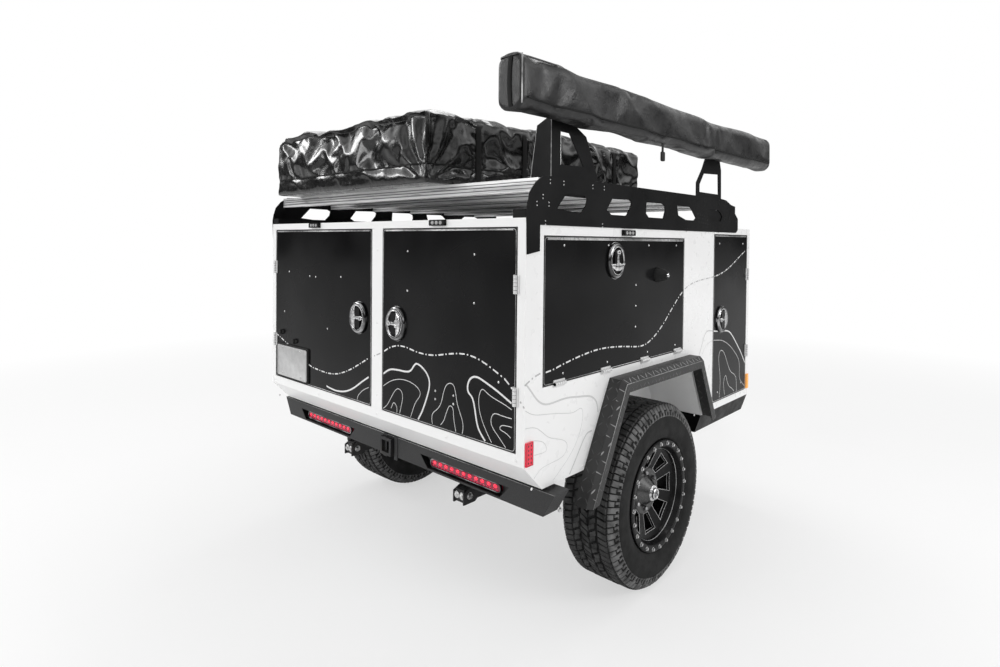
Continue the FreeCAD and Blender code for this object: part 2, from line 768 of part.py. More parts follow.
rails = [box("rail_%s" % side, ("body_length - wall - %s" % RAIL_START, "rail_width", "rail_height"),
             (RAIL_START, across, RAIL_Z))
         for side, across in (("left", "rail_centre - rail_width / 2"), ("right", "-rail_centre - rail_width / 2"))]
CROSSES = {
    "rear": ("rear_cross_ahead", "rear_cross_half"),
    "inner": ("inner_cross_ahead", "rail_centre"),
    "middle": ("middle_cross_ahead", "rail_centre"),
    "front": ("body_length - wall - cross_width", "rail_centre"),
}
crosses = [box("cross_%s" % name, ("cross_width", "2 * %s" % half, "rail_height"), (ahead, "-" + half, RAIL_Z))
           for name, (ahead, half) in CROSSES.items()]

# The drawbar's two arms run together from under the floor to the coupler
ARM_RUN = "(body_length + drawbar_length - drawbar_start)"
ARM_IN = "(drawbar_start_out - drawbar_end_out)"
ARM_ANGLE = "atan(%s / %s)" % (ARM_IN, ARM_RUN)
ARM_LENGTH = "sqrt(%s ^ 2 + %s ^ 2)" % (ARM_RUN, ARM_IN)
arm = box("drawbar_right", (ARM_LENGTH, "rail_width", "rail_height"),
          ("drawbar_start + rail_width / 2 * sin(%s)" % ARM_ANGLE,
           "-drawbar_start_out - rail_width / 2 * cos(%s)" % ARM_ANGLE, RAIL_Z))
bind(arm, {"Placement.Rotation.Angle": ARM_ANGLE})
nose = box("drawbar_nose", ("nose_length", "2 * drawbar_end_out", "rail_height"),
           ("body_length + drawbar_length - nose_length", "-drawbar_end_out", RAIL_Z))

# Spring hangers: two cheeks at each spring eye, welded to the rail's sides
HANGER_SIZES = {
    "spring_half": 360,
    "spring_width": 45,
    "eye_radius": 20,
    "cheek_thick": 6,
    "cheek_half": 34,
    "eye_clear": 0.3,
    "leaf_sheet": 8,
    "spring_sag": 28,
    "eye_drop": 1.7,
}
sizes(HANGER_SIZES)
LEAF_SHARES = (1.0, 0.78, 0.56, 0.34)
SPRING_TOP = "(tyre_radius + axle_tube / 2 + %d * leaf_sheet)" % len(LEAF_SHARES)
derive({"eye_height": SPRING_TOP + " + spring_sag - eye_drop"})
CHEEK_OUT = "(spring_width / 2 + eye_clear)"
cheeks = []
for end, way in (("rear", "-"), ("front", "+")):
    for face, offset in (("in", "-%s - cheek_thick" % CHEEK_OUT), ("out", "+ " + CHEEK_OUT)):
        cheeks.append(box("cheek_%s_%s" % (end, face), ("2 * cheek_half", "cheek_thick",
                      "body_bottom - rail_height / 2 - eye_height + eye_radius"),
                      ("wheel_ahead %s spring_half - cheek_half" % way, "-rail_centre %s" % offset,
                       "eye_height - eye_radius")))
    cheeks.append(cylinder("eye_bolt_" + end, "eye_radius / 2 - eye_clear", "2 * %s" % CHEEK_OUT,
                           ("wheel_ahead %s spring_half" % way, "-rail_centre - %s" % CHEEK_OUT, "eye_height"), "y"))

# Slanted brackets that reach down and back from the inner crossmember to carry the corner stabiliser legs
STABILISER_SIZES = {
    "leg_section": 50,
    "leg_clear": 0.5,
    "lug_thick": 6,
    "lug_half": 31,
    "leg_length": 352,
    "leg_pin_radius": 9,
    "foot_thick": 8,
    "foot_half": 30,
    "leg_inset": 62,
    "leg_drop": 98,
}
sizes(STABILISER_SIZES)
derive({
    "leg_centre": "rail_centre - leg_inset",
    "leg_pivot_ahead": "rear_cross_ahead + lug_half",
    "leg_pivot_height": "body_bottom - rail_height - leg_drop",
})
LUG_OUT = "(leg_section / 2 + leg_clear)"
LUG_OUTLINE = [
    ("leg_pivot_ahead - lug_half", "leg_pivot_height - lug_half"),
    ("leg_pivot_ahead + lug_half", "leg_pivot_height - lug_half"),
    ("inner_cross_ahead + cross_width", RAIL_Z),
    ("inner_cross_ahead", RAIL_Z),
    ("leg_pivot_ahead - lug_half", "leg_pivot_height + lug_half / 2"),
]
lugs = [prism("lug_" + face, "XZ_Plane", [LUG_OUTLINE], "lug_thick", offset)
        for face, offset in (("in", "leg_centre - %s - lug_thick" % LUG_OUT), ("out", "leg_centre + " + LUG_OUT))]
lugs.append(cylinder("leg_pin", "leg_pin_radius", "2 * %s" % LUG_OUT,
                     ("leg_pivot_ahead", "-leg_centre - %s" % LUG_OUT, "leg_pivot_height"), "y"))
right_half = fuse("chassis_right", [arm] + cheeks + lugs)

# Swivel bracket for the jack on the left drawbar arm, in a frame that runs along that arm
JACK_BRACKET_SIZES = {
    "jack_behind": 476,
    "jack_pivot_drop": 40,
    "swivel_radius": 45,
    "swivel_thick": 8,
    "swivel_clear": 0.3,
    "jack_tube_radius": 29,
}
sizes(JACK_BRACKET_SIZES)
derive({"jack_ahead": ARM_LENGTH + " - jack_behind"})
JACK_PLACE = (
    "(drawbar_start + jack_ahead * cos(%s) + rail_width / 2 * sin(%s))" % (ARM_ANGLE, ARM_ANGLE),
    "(drawbar_start_out - jack_ahead * sin(%s) + rail_width / 2 * cos(%s))" % (ARM_ANGLE, ARM_ANGLE),
    "(body_bottom - jack_pivot_drop)",
)
swivel = fuse("jack_bracket", [
    box("bracket_plate", ("2 * swivel_radius", "swivel_thick", "rail_height"),
        ("-swivel_radius", "0", "jack_pivot_drop - rail_height")),
    cylinder("bracket_disc", "swivel_radius - swivel_thick", "2 * swivel_thick", ("0", "0", "0"), "y"),
    cylinder("bracket_pin", "jack_tube_radius / 2", "3 * swivel_thick", ("0", "0", "0"), "y"),
])
put(swivel, JACK_PLACE)
bind(swivel, {"Placement.Rotation.Angle": "-" + ARM_ANGLE})

# Receiver tube of the rear hitch, which passes through the bumper and the rear crossmember
RECEIVER_SIZES = {
    "tube_size": 64,
    "tube_opening": 51,
    "collar_size": 76,
    "collar_length": 26,
    "pin_radius": 8,
    "pin_ahead": 47,
    "collar_clear": 0.3,
    "tube_drop": 57,
    "collar_proud": 19,
}
sizes(RECEIVER_SIZES)
derive({
    "tube_height": "body_bottom - tube_drop",
    "tube_rear": "bumper_rear - collar_proud",
})
TUBE_LENGTH = "(inner_cross_ahead - tube_rear)"


def square_tube(name, size, start, length):
    return box(name, (length, size, size), (start, "-(%s) / 2" % size, "tube_height - (%s) / 2" % size))


tube_hole = square_tube("tube_hole", "tube_size", "rear_cross_ahead - overrun", "cross_width + 2 * overrun")
chassis_solid = fuse("chassis_solid", rails + crosses + [nose, right_half, mirrored("chassis_left", right_half), swivel])
piece("chassis_frame", cut("chassis_cut", chassis_solid, [tube_hole]))
receiver = cut("receiver_shape", fuse("receiver_solid", [
    square_tube("tube", "tube_size", "tube_rear", TUBE_LENGTH),
    square_tube("collar", "collar_size", "tube_rear", "collar_length"),
]), [
    square_tube("tube_bore", "tube_opening", "tube_rear - overrun", "%s + 2 * overrun" % TUBE_LENGTH),
    cylinder("hitch_pin_hole", "pin_radius", "2 * tube_size", ("tube_rear + pin_ahead", "-tube_size", "tube_height"), "y"),
])
piece("receiver_tube", receiver)

# Leaf springs: four curved leaves with rolled eyes, clamped to the axle by U-bolts
SPRING_SIZES = {
    "clamp_thick": 9,
    "clamp_half": 58,
    "bolt_radius": 6,
    "bolt_out": 40,
}
sizes(SPRING_SIZES)
SPRING_RADIUS = "((spring_half ^ 2 + spring_sag ^ 2) / (2 * spring_sag))"
SPRING_SIDE = "-rail_centre - spring_width / 2"
leaves = []
for step, leaf_share in enumerate(LEAF_SHARES):
    rings = [cylinder("leaf_%s_%d" % (face, step), "%s + %d * leaf_sheet" % (SPRING_RADIUS, step + more),
                      "spring_width", ("wheel_ahead", SPRING_SIDE, "%s + %s" % (SPRING_TOP, SPRING_RADIUS)), "y")
             for more, face in enumerate(("inner", "outer"))]
    reach = box("leaf_reach_%d" % step, ("2 * %g * spring_half" % leaf_share, "spring_width", "axle_tube + spring_sag"),
                ("wheel_ahead - %g * spring_half" % leaf_share, SPRING_SIDE,
                 "%s - %d * leaf_sheet" % (SPRING_TOP, step + 1)))
    leaves.append(common("leaf_%d" % step, cut("leaf_ring_%d" % step, rings[1], [rings[0]]), reach))
eyes = []
eye_bores = []
for end, way in (("rear", "-"), ("front", "+")):
    spot = ("wheel_ahead %s spring_half" % way, SPRING_SIDE, "eye_height")
    eyes.append(cylinder("eye_" + end, "eye_radius - eye_clear", "spring_width", spot, "y"))
    eye_bores.append(cylinder("eye_bore_" + end, "eye_radius / 2", "spring_width", spot, "y"))
CLAMP_SPAN = "(spring_width + 4 * bolt_radius)"
CLAMP_FOOT = "(tyre_radius - axle_tube / 2 - clamp_thick)"
clamp = [box("clamp_%s" % where, ("2 * clamp_half", CLAMP_SPAN, "clamp_thick"),
             ("wheel_ahead - clamp_half", "-rail_centre - %s / 2" % CLAMP_SPAN, height))
         for where, height in (("top", SPRING_TOP), ("bottom", CLAMP_FOOT))]
for across, side_way in (("in", "+"), ("out", "-")):
    for end, way in (("rear", "-"), ("front", "+")):
        clamp.append(cylinder("clamp_bolt_%s_%s" % (across, end), "bolt_radius",
                              "%s - %s + 3 * clamp_thick" % (SPRING_TOP, CLAMP_FOOT),
                              ("wheel_ahead %s bolt_out" % way,
                               "-rail_centre %s (spring_width / 2 + bolt_radius)" % side_way,
                               "%s - clamp_thick" % CLAMP_FOOT), "z"))
spring = cut("spring_shape", fuse("spring_solid", leaves + eyes + clamp), eye_bores)
twin("leaf_spring_left", piece("leaf_spring_right", spring))

# Stabiliser legs: square tubes stored forward under the floor, with a foot plate at the end
leg = fuse("leg_solid", [
    box("leg_tube", ("leg_length + leg_section / 2", "leg_section", "leg_section"),
        ("-leg_section / 2", "-leg_section / 2", "-leg_section / 2")),
    box("leg_foot", ("foot_thick", "2 * foot_half", "3 * foot_half"),
        ("leg_length", "-foot_half", "-3 * foot_half / 2")),
])
leg_bore = cylinder("leg_bore", "leg_pin_radius + leg_clear", "2 * leg_section", ("0", "-leg_section", "0"), "y")
twin("stabiliser_left", piece("stabiliser_right", cut("leg_shape", leg, [leg_bore]),
                              ("leg_pivot_ahead", "-leg_centre", "leg_pivot_height")))

# Bumper: a folded channel with slanted ends and a pocket for each tail lamp
BUMPER_SIZES = {
    "bumper_sheet": 5,
    "lamp_centre": 478,
    "lamp_half": 191,
    "lamp_rise": 14,
    "pocket_over": 106,
    "pocket_margin": 24,
    "pocket_slant": 45,
    "pocket_depth": 32,
    "lamp_thick": 16,
    "bumper_drop": 11,
    "bumper_height": 85,
    "bumper_over": 49,
    "bumper_slant": 49,
    "bumper_wrap": 31,
    "lamp_drop": 54.5,
    "lamp_shift": 22,
}
sizes(BUMPER_SIZES)
derive({
    "bumper_top": "body_bottom - bumper_drop",
    "bumper_bottom": "bumper_top - bumper_height",
    "bumper_top_half": "body_width / 2 + bumper_over",
    "bumper_bottom_half": "bumper_top_half - bumper_slant",
    "bumper_end": "rear_cross_ahead + bumper_wrap",
    "lamp_height": "bumper_top - lamp_drop",
})


def bumper_outline(inset):
    return [
        ("-bumper_top_half + %s" % inset, "bumper_top - %s" % inset),
        ("bumper_top_half - %s" % inset, "bumper_top - %s" % inset),
        ("bumper_bottom_half - %s" % inset, "bumper_bottom + %s" % inset),
        ("-bumper_bottom_half + %s" % inset, "bumper_bottom + %s" % inset),
    ]


LAMP_CENTRE = {"": "(lamp_centre + lamp_shift)", "-": "(lamp_centre - lamp_shift)"}


def pocket_outline(side, grow):
    """The slanted slot round a tail lamp, on the right (-) or left side."""
    inner = "(%s - lamp_half - pocket_over / 2 - %s)" % (LAMP_CENTRE[side], grow)
    outer = "(%s + lamp_half + pocket_over / 2 + %s)" % (LAMP_CENTRE[side], grow)
    low = "lamp_height - pocket_margin - %s" % grow
    high = "lamp_height + pocket_margin + %s" % grow
    return [
        ("%s(%s + pocket_slant)" % (side, inner), low),
        ("%s(%s - pocket_slant)" % (side, outer), low),
        ("%s%s" % (side, outer), high),
        ("%s%s" % (side, inner), high),
    ]


SIDES = (("left", ""), ("right", "-"))
bumper_shell = cut("bumper_shell", prism("bumper_blank", "YZ_Plane", [bumper_outline("0")],
                   "bumper_end - bumper_rear", "bumper_rear"), [
    prism("bumper_room", "YZ_Plane", [bumper_outline("bumper_sheet")],
          "bumper_end - bumper_rear", "bumper_rear + bumper_sheet"),
    box("bumper_back", ("bumper_end - rear_cross_ahead + overrun", "2 * rear_cross_half + 2 * eye_clear",
                        "bumper_top - bumper_bottom + 2 * overrun"),
        ("rear_cross_ahead", "-rear_cross_half - eye_clear", "bumper_bottom - overrun")),
])
pans = [prism("pan_%s" % name, "YZ_Plane", [pocket_outline(side, "bumper_sheet")], "pocket_depth", "bumper_rear")
        for name, side in SIDES]
pockets = [prism("pocket_%s" % name, "YZ_Plane", [pocket_outline(side, "0")],
                 "pocket_depth - bumper_sheet + overrun", "bumper_rear - overrun")
           for name, side in SIDES]
bumper_hole = square_tube("bumper_tube_hole", "(collar_size + 2 * collar_clear)", "bumper_rear - overrun",
                          "rear_cross_ahead")
piece("rear_bumper", cut("bumper_shape", fuse("bumper_solid", [bumper_shell] + pans), pockets + [bumper_hole]))

# Tail lamps: a bar of light in each pocket of the bumper
LAMP_X = "(bumper_rear + pocket_depth - bumper_sheet - lamp_thick)"
lamps = [box("lamp_%s" % name, ("lamp_thick", "2 * lamp_half", "2 * lamp_rise"),
             (LAMP_X, "%s%s - lamp_half" % (side, LAMP_CENTRE[side]), "lamp_height - lamp_rise"))
         for name, side in SIDES]
piece("tail_lamps", fuse("tail_lamp_pair", lamps))

# Marker lamps on the cabin's sides: red at the rear corners and amber at the front corners
MARKER_SIZES = {
    "red_ahead": 5,
    "red_width": 35,
    "marker_height": 78,
    "marker_thick": 7,
    "amber_width": 26,
    "red_lift": 4,
    "amber_inset": 3,
    "amber_lift": 37,
}
sizes(MARKER_SIZES)
derive({
    "red_bottom": "slope_crease + red_lift",
    "amber_ahead": "body_length - amber_inset - amber_width",
    "amber_bottom": "body_bottom + amber_lift",
})


def marker(name, ahead, width, bottom):
    lamp = box(name, (width, "marker_thick", "marker_height"), (ahead, "-%s - marker_thick" % HALF, bottom))
    return fuse(name + "_pair", [lamp, mirrored(name + "_left", lamp)])


piece("marker_lamps_red", marker("red_marker", "red_ahead", "red_width", "red_bottom"))
piece("marker_lamps_amber", marker("amber_marker", "amber_ahead", "amber_width", "amber_bottom"))

# Scene lights: small floodlights high on the rear face and on both sides
SCENE_LIGHT_SIZES = {
    "scene_light_out": 433,
    "scene_light_width": 80,
    "scene_light_height": 22,
    "scene_light_thick": 14,
    "scene_light_drop": 22,
    "side_light_ahead": 577,
    "side_light_drop": 51,
}
sizes(SCENE_LIGHT_SIZES)
rear_lights = [box("rear_light_%s" % name, ("scene_light_thick", "scene_light_width", "scene_light_height"),
                   ("-scene_light_thick", "%sscene_light_out - scene_light_width / 2" % side,
                    "body_top - scene_light_drop"))
               for name, side in SIDES]
side_light = box("side_light", ("scene_light_width", "scene_light_thick", "scene_light_height"),
                 ("side_light_ahead", "-%s - scene_light_thick" % HALF, "body_top - side_light_drop"))
piece("scene_lights", fuse("scene_light_set", rear_lights + [side_light, mirrored("side_light_left", side_light)]))

# Skirt boxes: low steel lockers under the cabin's front corners, outside the rails
SKIRT_SIZES = {
    "skirt_height": 88,
    "skirt_taper": 30,
    "skirt_gap": 127,
    "skirt_set_back": 6,
}
sizes(SKIRT_SIZES)
derive({
    "skirt_rear": "arch_front + skirt_gap",
    "skirt_front": "body_length - skirt_set_back",
})
skirt = prism("skirt_box", "YZ_Plane", [[
    ("-%s" % HALF, "body_bottom"),
    ("-rail_centre - rail_width / 2", "body_bottom"),
    ("-rail_centre - rail_width / 2", "body_bottom - skirt_height"),
    ("-%s + skirt_taper" % HALF, "body_bottom - skirt_height"),
]], "skirt_front - skirt_rear", "skirt_rear")
twin("skirt_box_left", piece("skirt_box_right", skirt))

# Roof rack: a side plate with windows bolted to each side of the cabin
RACK_SIZES = {
    "rack_height": 264,
    "rack_plate": 4,
    "rack_short": 175,
    "rack_lap": 119,
}
sizes(RACK_SIZES)
derive({
    "rack_length": "body_length - rack_short",
    "rack_foot": "body_top - rack_lap",
})
RACK_SHARES = (
    (0.002, 0.0), (0.039, 0.04), (0.039, 0.367), (0.988, 0.367), (1.0, 0.432), (0.999, 0.644),
    (0.977, 0.746), (0.977, 0.883), (0.945, 0.909), (0.91, 0.985), (0.88, 1.0), (0.091, 1.0),
    (0.047, 0.981), (0.025, 0.894), (0.009, 0.773), (0.002, 0.629), (-0.001, 0.515),
)
RACK_WINDOW_SHARES = (
    ((0.122, 0.788), (0.184, 0.784), (0.194, 0.75), (0.191, 0.667), (0.174, 0.557), (0.157, 0.549), (0.092, 0.591)),
    ((0.291, 0.784), (0.364, 0.795), (0.373, 0.761), (0.37, 0.693), (0.353, 0.568), (0.341, 0.538), (0.291, 0.542),
     (0.27, 0.621)),
    ((0.442, 0.788), (0.52, 0.792), (0.533, 0.758), (0.535, 0.682), (0.526, 0.553), (0.455, 0.545), (0.44, 0.614)),
    ((0.599, 0.78), (0.67, 0.788), (0.681, 0.758), (0.709, 0.602), (0.696, 0.549), (0.648, 0.557), (0.607, 0.621)),
    ((0.794, 0.777), (0.851, 0.784), (0.869, 0.739), (0.884, 0.663), (0.87, 0.572), (0.815, 0.572), (0.785, 0.648),
     (0.781, 0.731)),
)


def shared(shares, length, foot, height):
    """Outline points from shares of a length and of a height above a foot."""
    return [("%g * %s" % (across, length), "%s + %g * %s" % (foot, up, height)) for across, up in shares]


rack_side = prism("rack_plate", "XZ_Plane", [shared(outline, "rack_length", "rack_foot", "rack_height")
                  for outline in (RACK_SHARES,) + RACK_WINDOW_SHARES], "rack_plate", HALF)
twin("rack_side_left", piece("rack_side_right", rack_side))

# Crossbars between the side plates: extrusions with a slot along the top
CROSSBAR_SIZES = {
    "bar_first": 77,
    "bar_width": 40,
    "bar_height": 45,
    "bar_drop": 11,
    "slot_width": 10,
    "slot_depth": 14,
    "bar_last": 243,
}
sizes(CROSSBAR_SIZES)
BARS = 6
derive({"bar_pitch": "(rack_length - bar_first - bar_last) / %d" % (BARS - 1)})
BAR_TOP = "(rack_foot + rack_height - bar_drop)"
bars = []
for step in range(BARS):
    middle = "bar_first + %d * bar_pitch" % step
    bars.append(prism("bar_%d" % step, "XZ_Plane", [[
        ("%s - bar_width / 2" % middle, "%s - bar_height" % BAR_TOP),
        ("%s + bar_width / 2" % middle, "%s - bar_height" % BAR_TOP),
        ("%s + bar_width / 2" % middle, BAR_TOP),
        ("%s + slot_width / 2" % middle, BAR_TOP),
        ("%s + slot_width / 2" % middle, "%s - slot_depth" % BAR_TOP),
        ("%s - slot_width / 2" % middle, "%s - slot_depth" % BAR_TOP),
        ("%s - slot_width / 2" % middle, BAR_TOP),
        ("%s - bar_width / 2" % middle, BAR_TOP),
    ]], "body_width", "-" + HALF))
piece("rack_crossbars", fuse("bar_set", bars))

# Roof rails: low curbs along both edges of the roof, inside the rack plates
CURB_SIZES = {
    "curb_width": 56,
    "curb_height": 28,
    "curb_inset": 2,
}
sizes(CURB_SIZES)
curb = box("roof_curb", ("rack_length", "curb_width", "curb_height"), ("0", "-%s + curb_inset" % HALF, "body_top"))
piece("roof_rails", fuse("roof_curbs", [curb, mirrored("roof_curb_left", curb)]))

# Roof tent under its travel cover, strapped down on the crossbars
TENT_SIZES = {
    "tent_tail": 66,
    "tent_right": 435,
    "tent_left": 683,
    "tent_height": 292,
    "tent_side": 262,
    "tent_left_side": 241,
    "cover_clear": 0.3,
    "tent_crown_in": 110,
    "tent_short": 229,
}
sizes(TENT_SIZES)
derive({
    "tent_length": "rack_length - tent_short",
})
TENT_Z = "(%s + cover_clear)" % BAR_TOP
tent_section = prism("tent_section", "YZ_Plane", [[
    ("-tent_right", TENT_Z),
    ("tent_left", TENT_Z),
    ("tent_left", "%s + tent_left_side" % TENT_Z),
    ("tent_left - tent_crown_in", "%s + tent_height" % TENT_Z),
    ("-tent_right + tent_crown_in", "%s + tent_height" % TENT_Z),
    ("-tent_right", "%s + tent_side" % TENT_Z),
]], "tent_length", "-tent_tail")
# Seen from the side the cover swells between its three straps and droops at both ends
TENT_TOP_SHARES = (
    (0.0, 0.92), (0.05, 0.955), (0.1, 0.98), (0.178, 0.925), (0.27, 0.985), (0.365, 0.925), (0.49, 0.985), (0.61, 1.0),
    (0.73, 0.985), (0.835, 0.925), (0.92, 0.97), (1.0, 0.9),
)
tent_profile = prism("tent_profile", "XZ_Plane", [[
    ("%g * tent_length - tent_tail" % across, "%s + %g * tent_height" % (TENT_Z, up))
    for across, up in ((0.0, 0.0), (1.0, 0.0)) + TENT_TOP_SHARES[::-1]]], "tent_right + tent_left", "-tent_left")
piece("roof_tent", common("tent_cover", tent_section, tent_profile))

# Awning in its bag along the right side, behind it the two brackets that carry it
AWNING_SIZES = {
    "awning_height": 174,
    "awning_round": 40,
    "bracket_height": 300,
    "bracket_lap": 64,
    "awning_lap": 68,
}
sizes(AWNING_SIZES)
derive({
    "bracket_foot": "rack_foot + rack_height - bracket_lap",
    "awning_bottom": "bracket_foot + bracket_height - awning_lap",
})
awning = prism("awning_roll", "YZ_Plane", [rectangle(
    "-awning_reach", "-%s - awning_clear" % HALF, "awning_bottom", "(awning_bottom + awning_height)")],
    "awning_tail + body_length", "-awning_tail")
round_edges(awning, "awning_edges", "awning_round", ALONG_X)
piece("awning_bag", awning)

BRACKET_SIZES = {
    "bracket_sheet": 4,
    "flange_width": 98,
}
sizes(BRACKET_SIZES)
BRACKET_SHARES = {
    "rear_gap_share": 0.1208,
    "rear_span_share": 1.1833,
    "front_gap_share": 0.05,
    "front_span_share": 1.1708,
}
sizes(BRACKET_SHARES)
REAR_BAR = 0
FRONT_BAR = 4
derive({
    "bar_span": "bar_pitch - bar_width",
    "rear_bracket_ahead": "bar_first + %d * bar_pitch + bar_width / 2 + rear_gap_share * bar_span" % REAR_BAR,
    "rear_bracket_length": "rear_span_share * bar_span",
    "front_bracket_ahead": "bar_first + %d * bar_pitch + bar_width / 2 + front_gap_share * bar_span" % FRONT_BAR,
    "front_bracket_length": "front_span_share * bar_span",
})
REAR_BRACKET_SHARES = (
    (0.0, 0.0), (0.718, 0.0), (0.718, 0.2), (1.0, 0.223), (0.718, 0.733), (0.1, 1.0), (0.0, 1.0),
)
REAR_WINDOW_SHARES = ((0.187, 0.353), (0.665, 0.373), (0.363, 0.733), (0.18, 0.733))
FRONT_BRACKET_SHARES = (
    (0.0, 0.0), (0.2, 0.0), (0.2, -0.17), (1.1, -0.17), (1.1, 0.02), (0.779, 0.02), (0.779, 0.2), (1.0, 0.213), (0.982, 0.69), (0.85, 1.0), (0.45, 1.0),
    (0.214, 0.653), (0.0, 0.42),
)
FRONT_WINDOW_SHARES = ((0.12, 0.28), (0.88, 0.28), (0.86, 0.61), (0.28, 0.58), (0.12, 0.4))


def bracket(name, ahead, length, outlines):
    """A bracket plate that stands inside the rack's side plate and rises behind the awning."""
    return prism(name, "XZ_Plane", [[("%s + %s" % (ahead, across), up) for across, up in shared(
        outline, length, "bracket_foot", "bracket_height")] for outline in outlines],
        "bracket_sheet", "%s - bracket_sheet" % HALF)


rear_plate = bracket("rear_bracket_plate", "rear_bracket_ahead", "rear_bracket_length",
                     (REAR_BRACKET_SHARES, REAR_WINDOW_SHARES))
FLANGE_SHARES = ((0.0, 0.0), (1.0, 0.0), (0.63, 0.8), (0.0, 0.9))
rear_flange = prism("rear_bracket_flange", "YZ_Plane", [[
    ("-%s + %g * flange_width" % (HALF, across), "bracket_foot + %g * bracket_height" % up)
    for across, up in FLANGE_SHARES]], "bracket_sheet", "rear_bracket_ahead")
piece("awning_bracket_rear", fuse("rear_bracket_shape", [rear_plate, rear_flange]))
piece("awning_bracket_front", bracket("front_bracket_plate", "front_bracket_ahead", "front_bracket_length",
                                      (FRONT_BRACKET_SHARES, FRONT_WINDOW_SHARES)))

# Ball coupler on the drawbar's nose: a forged socket with its lever on top
COUPLER_SIZES = {
    "coupler_half": 35,
    "coupler_height": 42,
    "coupler_back": 115,
    "ball_radius": 25.2,
    "socket_radius": 44,
    "socket_drop": 26,
    "socket_rise": 44,
    "lever_length": 150,
    "lever_thick": 10,
    "lever_half": 14,
    "coupler_lever_lift": 18,
}
sizes(COUPLER_SIZES)
NOSE_X = "(body_length + tongue_length - socket_radius)"
NOSE_REAR = "(body_length + drawbar_length - coupler_back)"
coupler_blank = fuse("coupler_blank", [
    box("coupler_body", ("%s - %s" % (NOSE_X, NOSE_REAR), "2 * coupler_half", "coupler_height"),
        (NOSE_REAR, "-coupler_half", "body_bottom")),
    cylinder("coupler_socket", "socket_radius", "socket_drop + socket_rise",
             (NOSE_X, "0", "body_bottom - socket_drop"), "z"),
    box("coupler_lever", ("lever_length", "2 * lever_half", "lever_thick"),
        ("%s + socket_radius / 2" % NOSE_REAR, "-lever_half", "body_bottom + coupler_height + coupler_lever_lift")),
    box("coupler_lever_post", ("2 * lever_half", "2 * lever_half", "coupler_lever_lift"),
        ("%s + socket_radius / 2 + lever_length - 2 * lever_half" % NOSE_REAR, "-lever_half",
         "body_bottom + coupler_height")),
])
ball = doc.addObject("Part::Sphere", "ball_seat")
bind(ball, {"Radius": "ball_radius"})
put(ball, (NOSE_X, "0", "body_bottom - socket_drop / 2"))
ball_way = cylinder("ball_way", "ball_radius", "socket_drop", (NOSE_X, "0", "body_bottom - 3 * socket_drop / 2"), "z")
piece("coupler", cut("coupler_shape", coupler_blank, [ball, ball_way]))

# Swivel jack: its tube hangs beside the left drawbar arm with the foot on the ground
JACK_SIZES = {
    "jack_rise": 250,
    "jack_inner_radius": 23,
    "jack_foot_radius": 62,
    "jack_boss": 20,
    "jack_foot_thick": 10,
    "jack_tube_share": 0.62,
    "crank_radius": 7,
    "crank_reach": 120,
    "crank_grip": 95,
    "crank_grip_radius": 13,
    "jack_cap": 12,
}
sizes(JACK_SIZES)
PIVOT_Z = JACK_PLACE[2]
SWIVEL_OUT = "(2 * swivel_thick + swivel_clear)"
TUBE_OUT = "(%s + swivel_thick + jack_boss + jack_tube_radius)" % SWIVEL_OUT
jack = fuse("jack_solid", [
    cylinder("jack_outer", "jack_tube_radius", "jack_rise + jack_tube_share * %s" % PIVOT_Z,
             ("0", TUBE_OUT, "-jack_tube_share * %s" % PIVOT_Z), "z"),
    cylinder("jack_inner", "jack_inner_radius", PIVOT_Z, ("0", TUBE_OUT, "-%s" % PIVOT_Z), "z"),
    cylinder("jack_foot", "jack_foot_radius", "jack_foot_thick", ("0", TUBE_OUT, "-%s" % PIVOT_Z), "z"),
    cylinder("jack_disc", "swivel_radius", "swivel_thick + jack_boss + jack_tube_radius", ("0", SWIVEL_OUT, "0"), "y"),
])
pin_way = cylinder("jack_pin_way", "jack_tube_radius / 2 + swivel_clear", "swivel_thick + swivel_clear",
                   ("0", SWIVEL_OUT, "0"), "y")
jack_leg = cut("jack_shape", jack, [pin_way])
bind(jack_leg, {"Placement.Rotation.Angle": "-" + ARM_ANGLE})
piece("jack_leg", jack_leg, JACK_PLACE)
crank = fuse("crank_solid", [
    cylinder("crank_hub", "jack_inner_radius", "jack_cap", ("0", TUBE_OUT, "jack_rise"), "z"),
    cylinder("crank_post", "crank_radius", "2 * jack_cap", ("0", TUBE_OUT, "jack_rise"), "z"),
    box("crank_arm", ("crank_reach + crank_radius", "2 * crank_radius", "crank_radius"),
        ("-crank_radius", "%s - crank_radius" % TUBE_OUT, "jack_rise + 2 * jack_cap - crank_radius")),
    cylinder("crank_grip_bar", "crank_grip_radius", "crank_grip",
             ("crank_reach - crank_radius", TUBE_OUT, "jack_rise + 2 * jack_cap"), "z"),
])
bind(crank, {"Placement.Rotation.Angle": "-" + ARM_ANGLE})
piece("jack_crank", crank, JACK_PLACE)

# Every object must have been made and every sub-part must be a sound solid before it is written
doc.recompute()
for thing in doc.Objects:
    if "Invalid" in thing.State or "Error" in thing.State:
        raise RuntimeError("%s could not be made" % thing.Label)
for solid in finished:
    if solid.Shape.isNull() or not solid.Shape.isValid() or not solid.Shape.Solids:
        raise RuntimeError("%s is not a sound solid" % solid.Label)
for solid in finished:
    solid.Shape.exportStep("parts/%s.step" % solid.Label)
    bounds = solid.Shape.BoundBox
    print("%-22s %2d solids %9.1f cm3  x %.0f %.0f  y %.0f %.0f  z %.0f %.0f" % (
        solid.Label, len(solid.Shape.Solids), solid.Shape.Volume / 1000, bounds.XMin, bounds.XMax,
        bounds.YMin, bounds.YMax, bounds.ZMin, bounds.ZMax))
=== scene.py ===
import math

import bmesh
import bpy
from mathutils import Matrix, Vector, noise
from mathutils.bvhtree import BVHTree


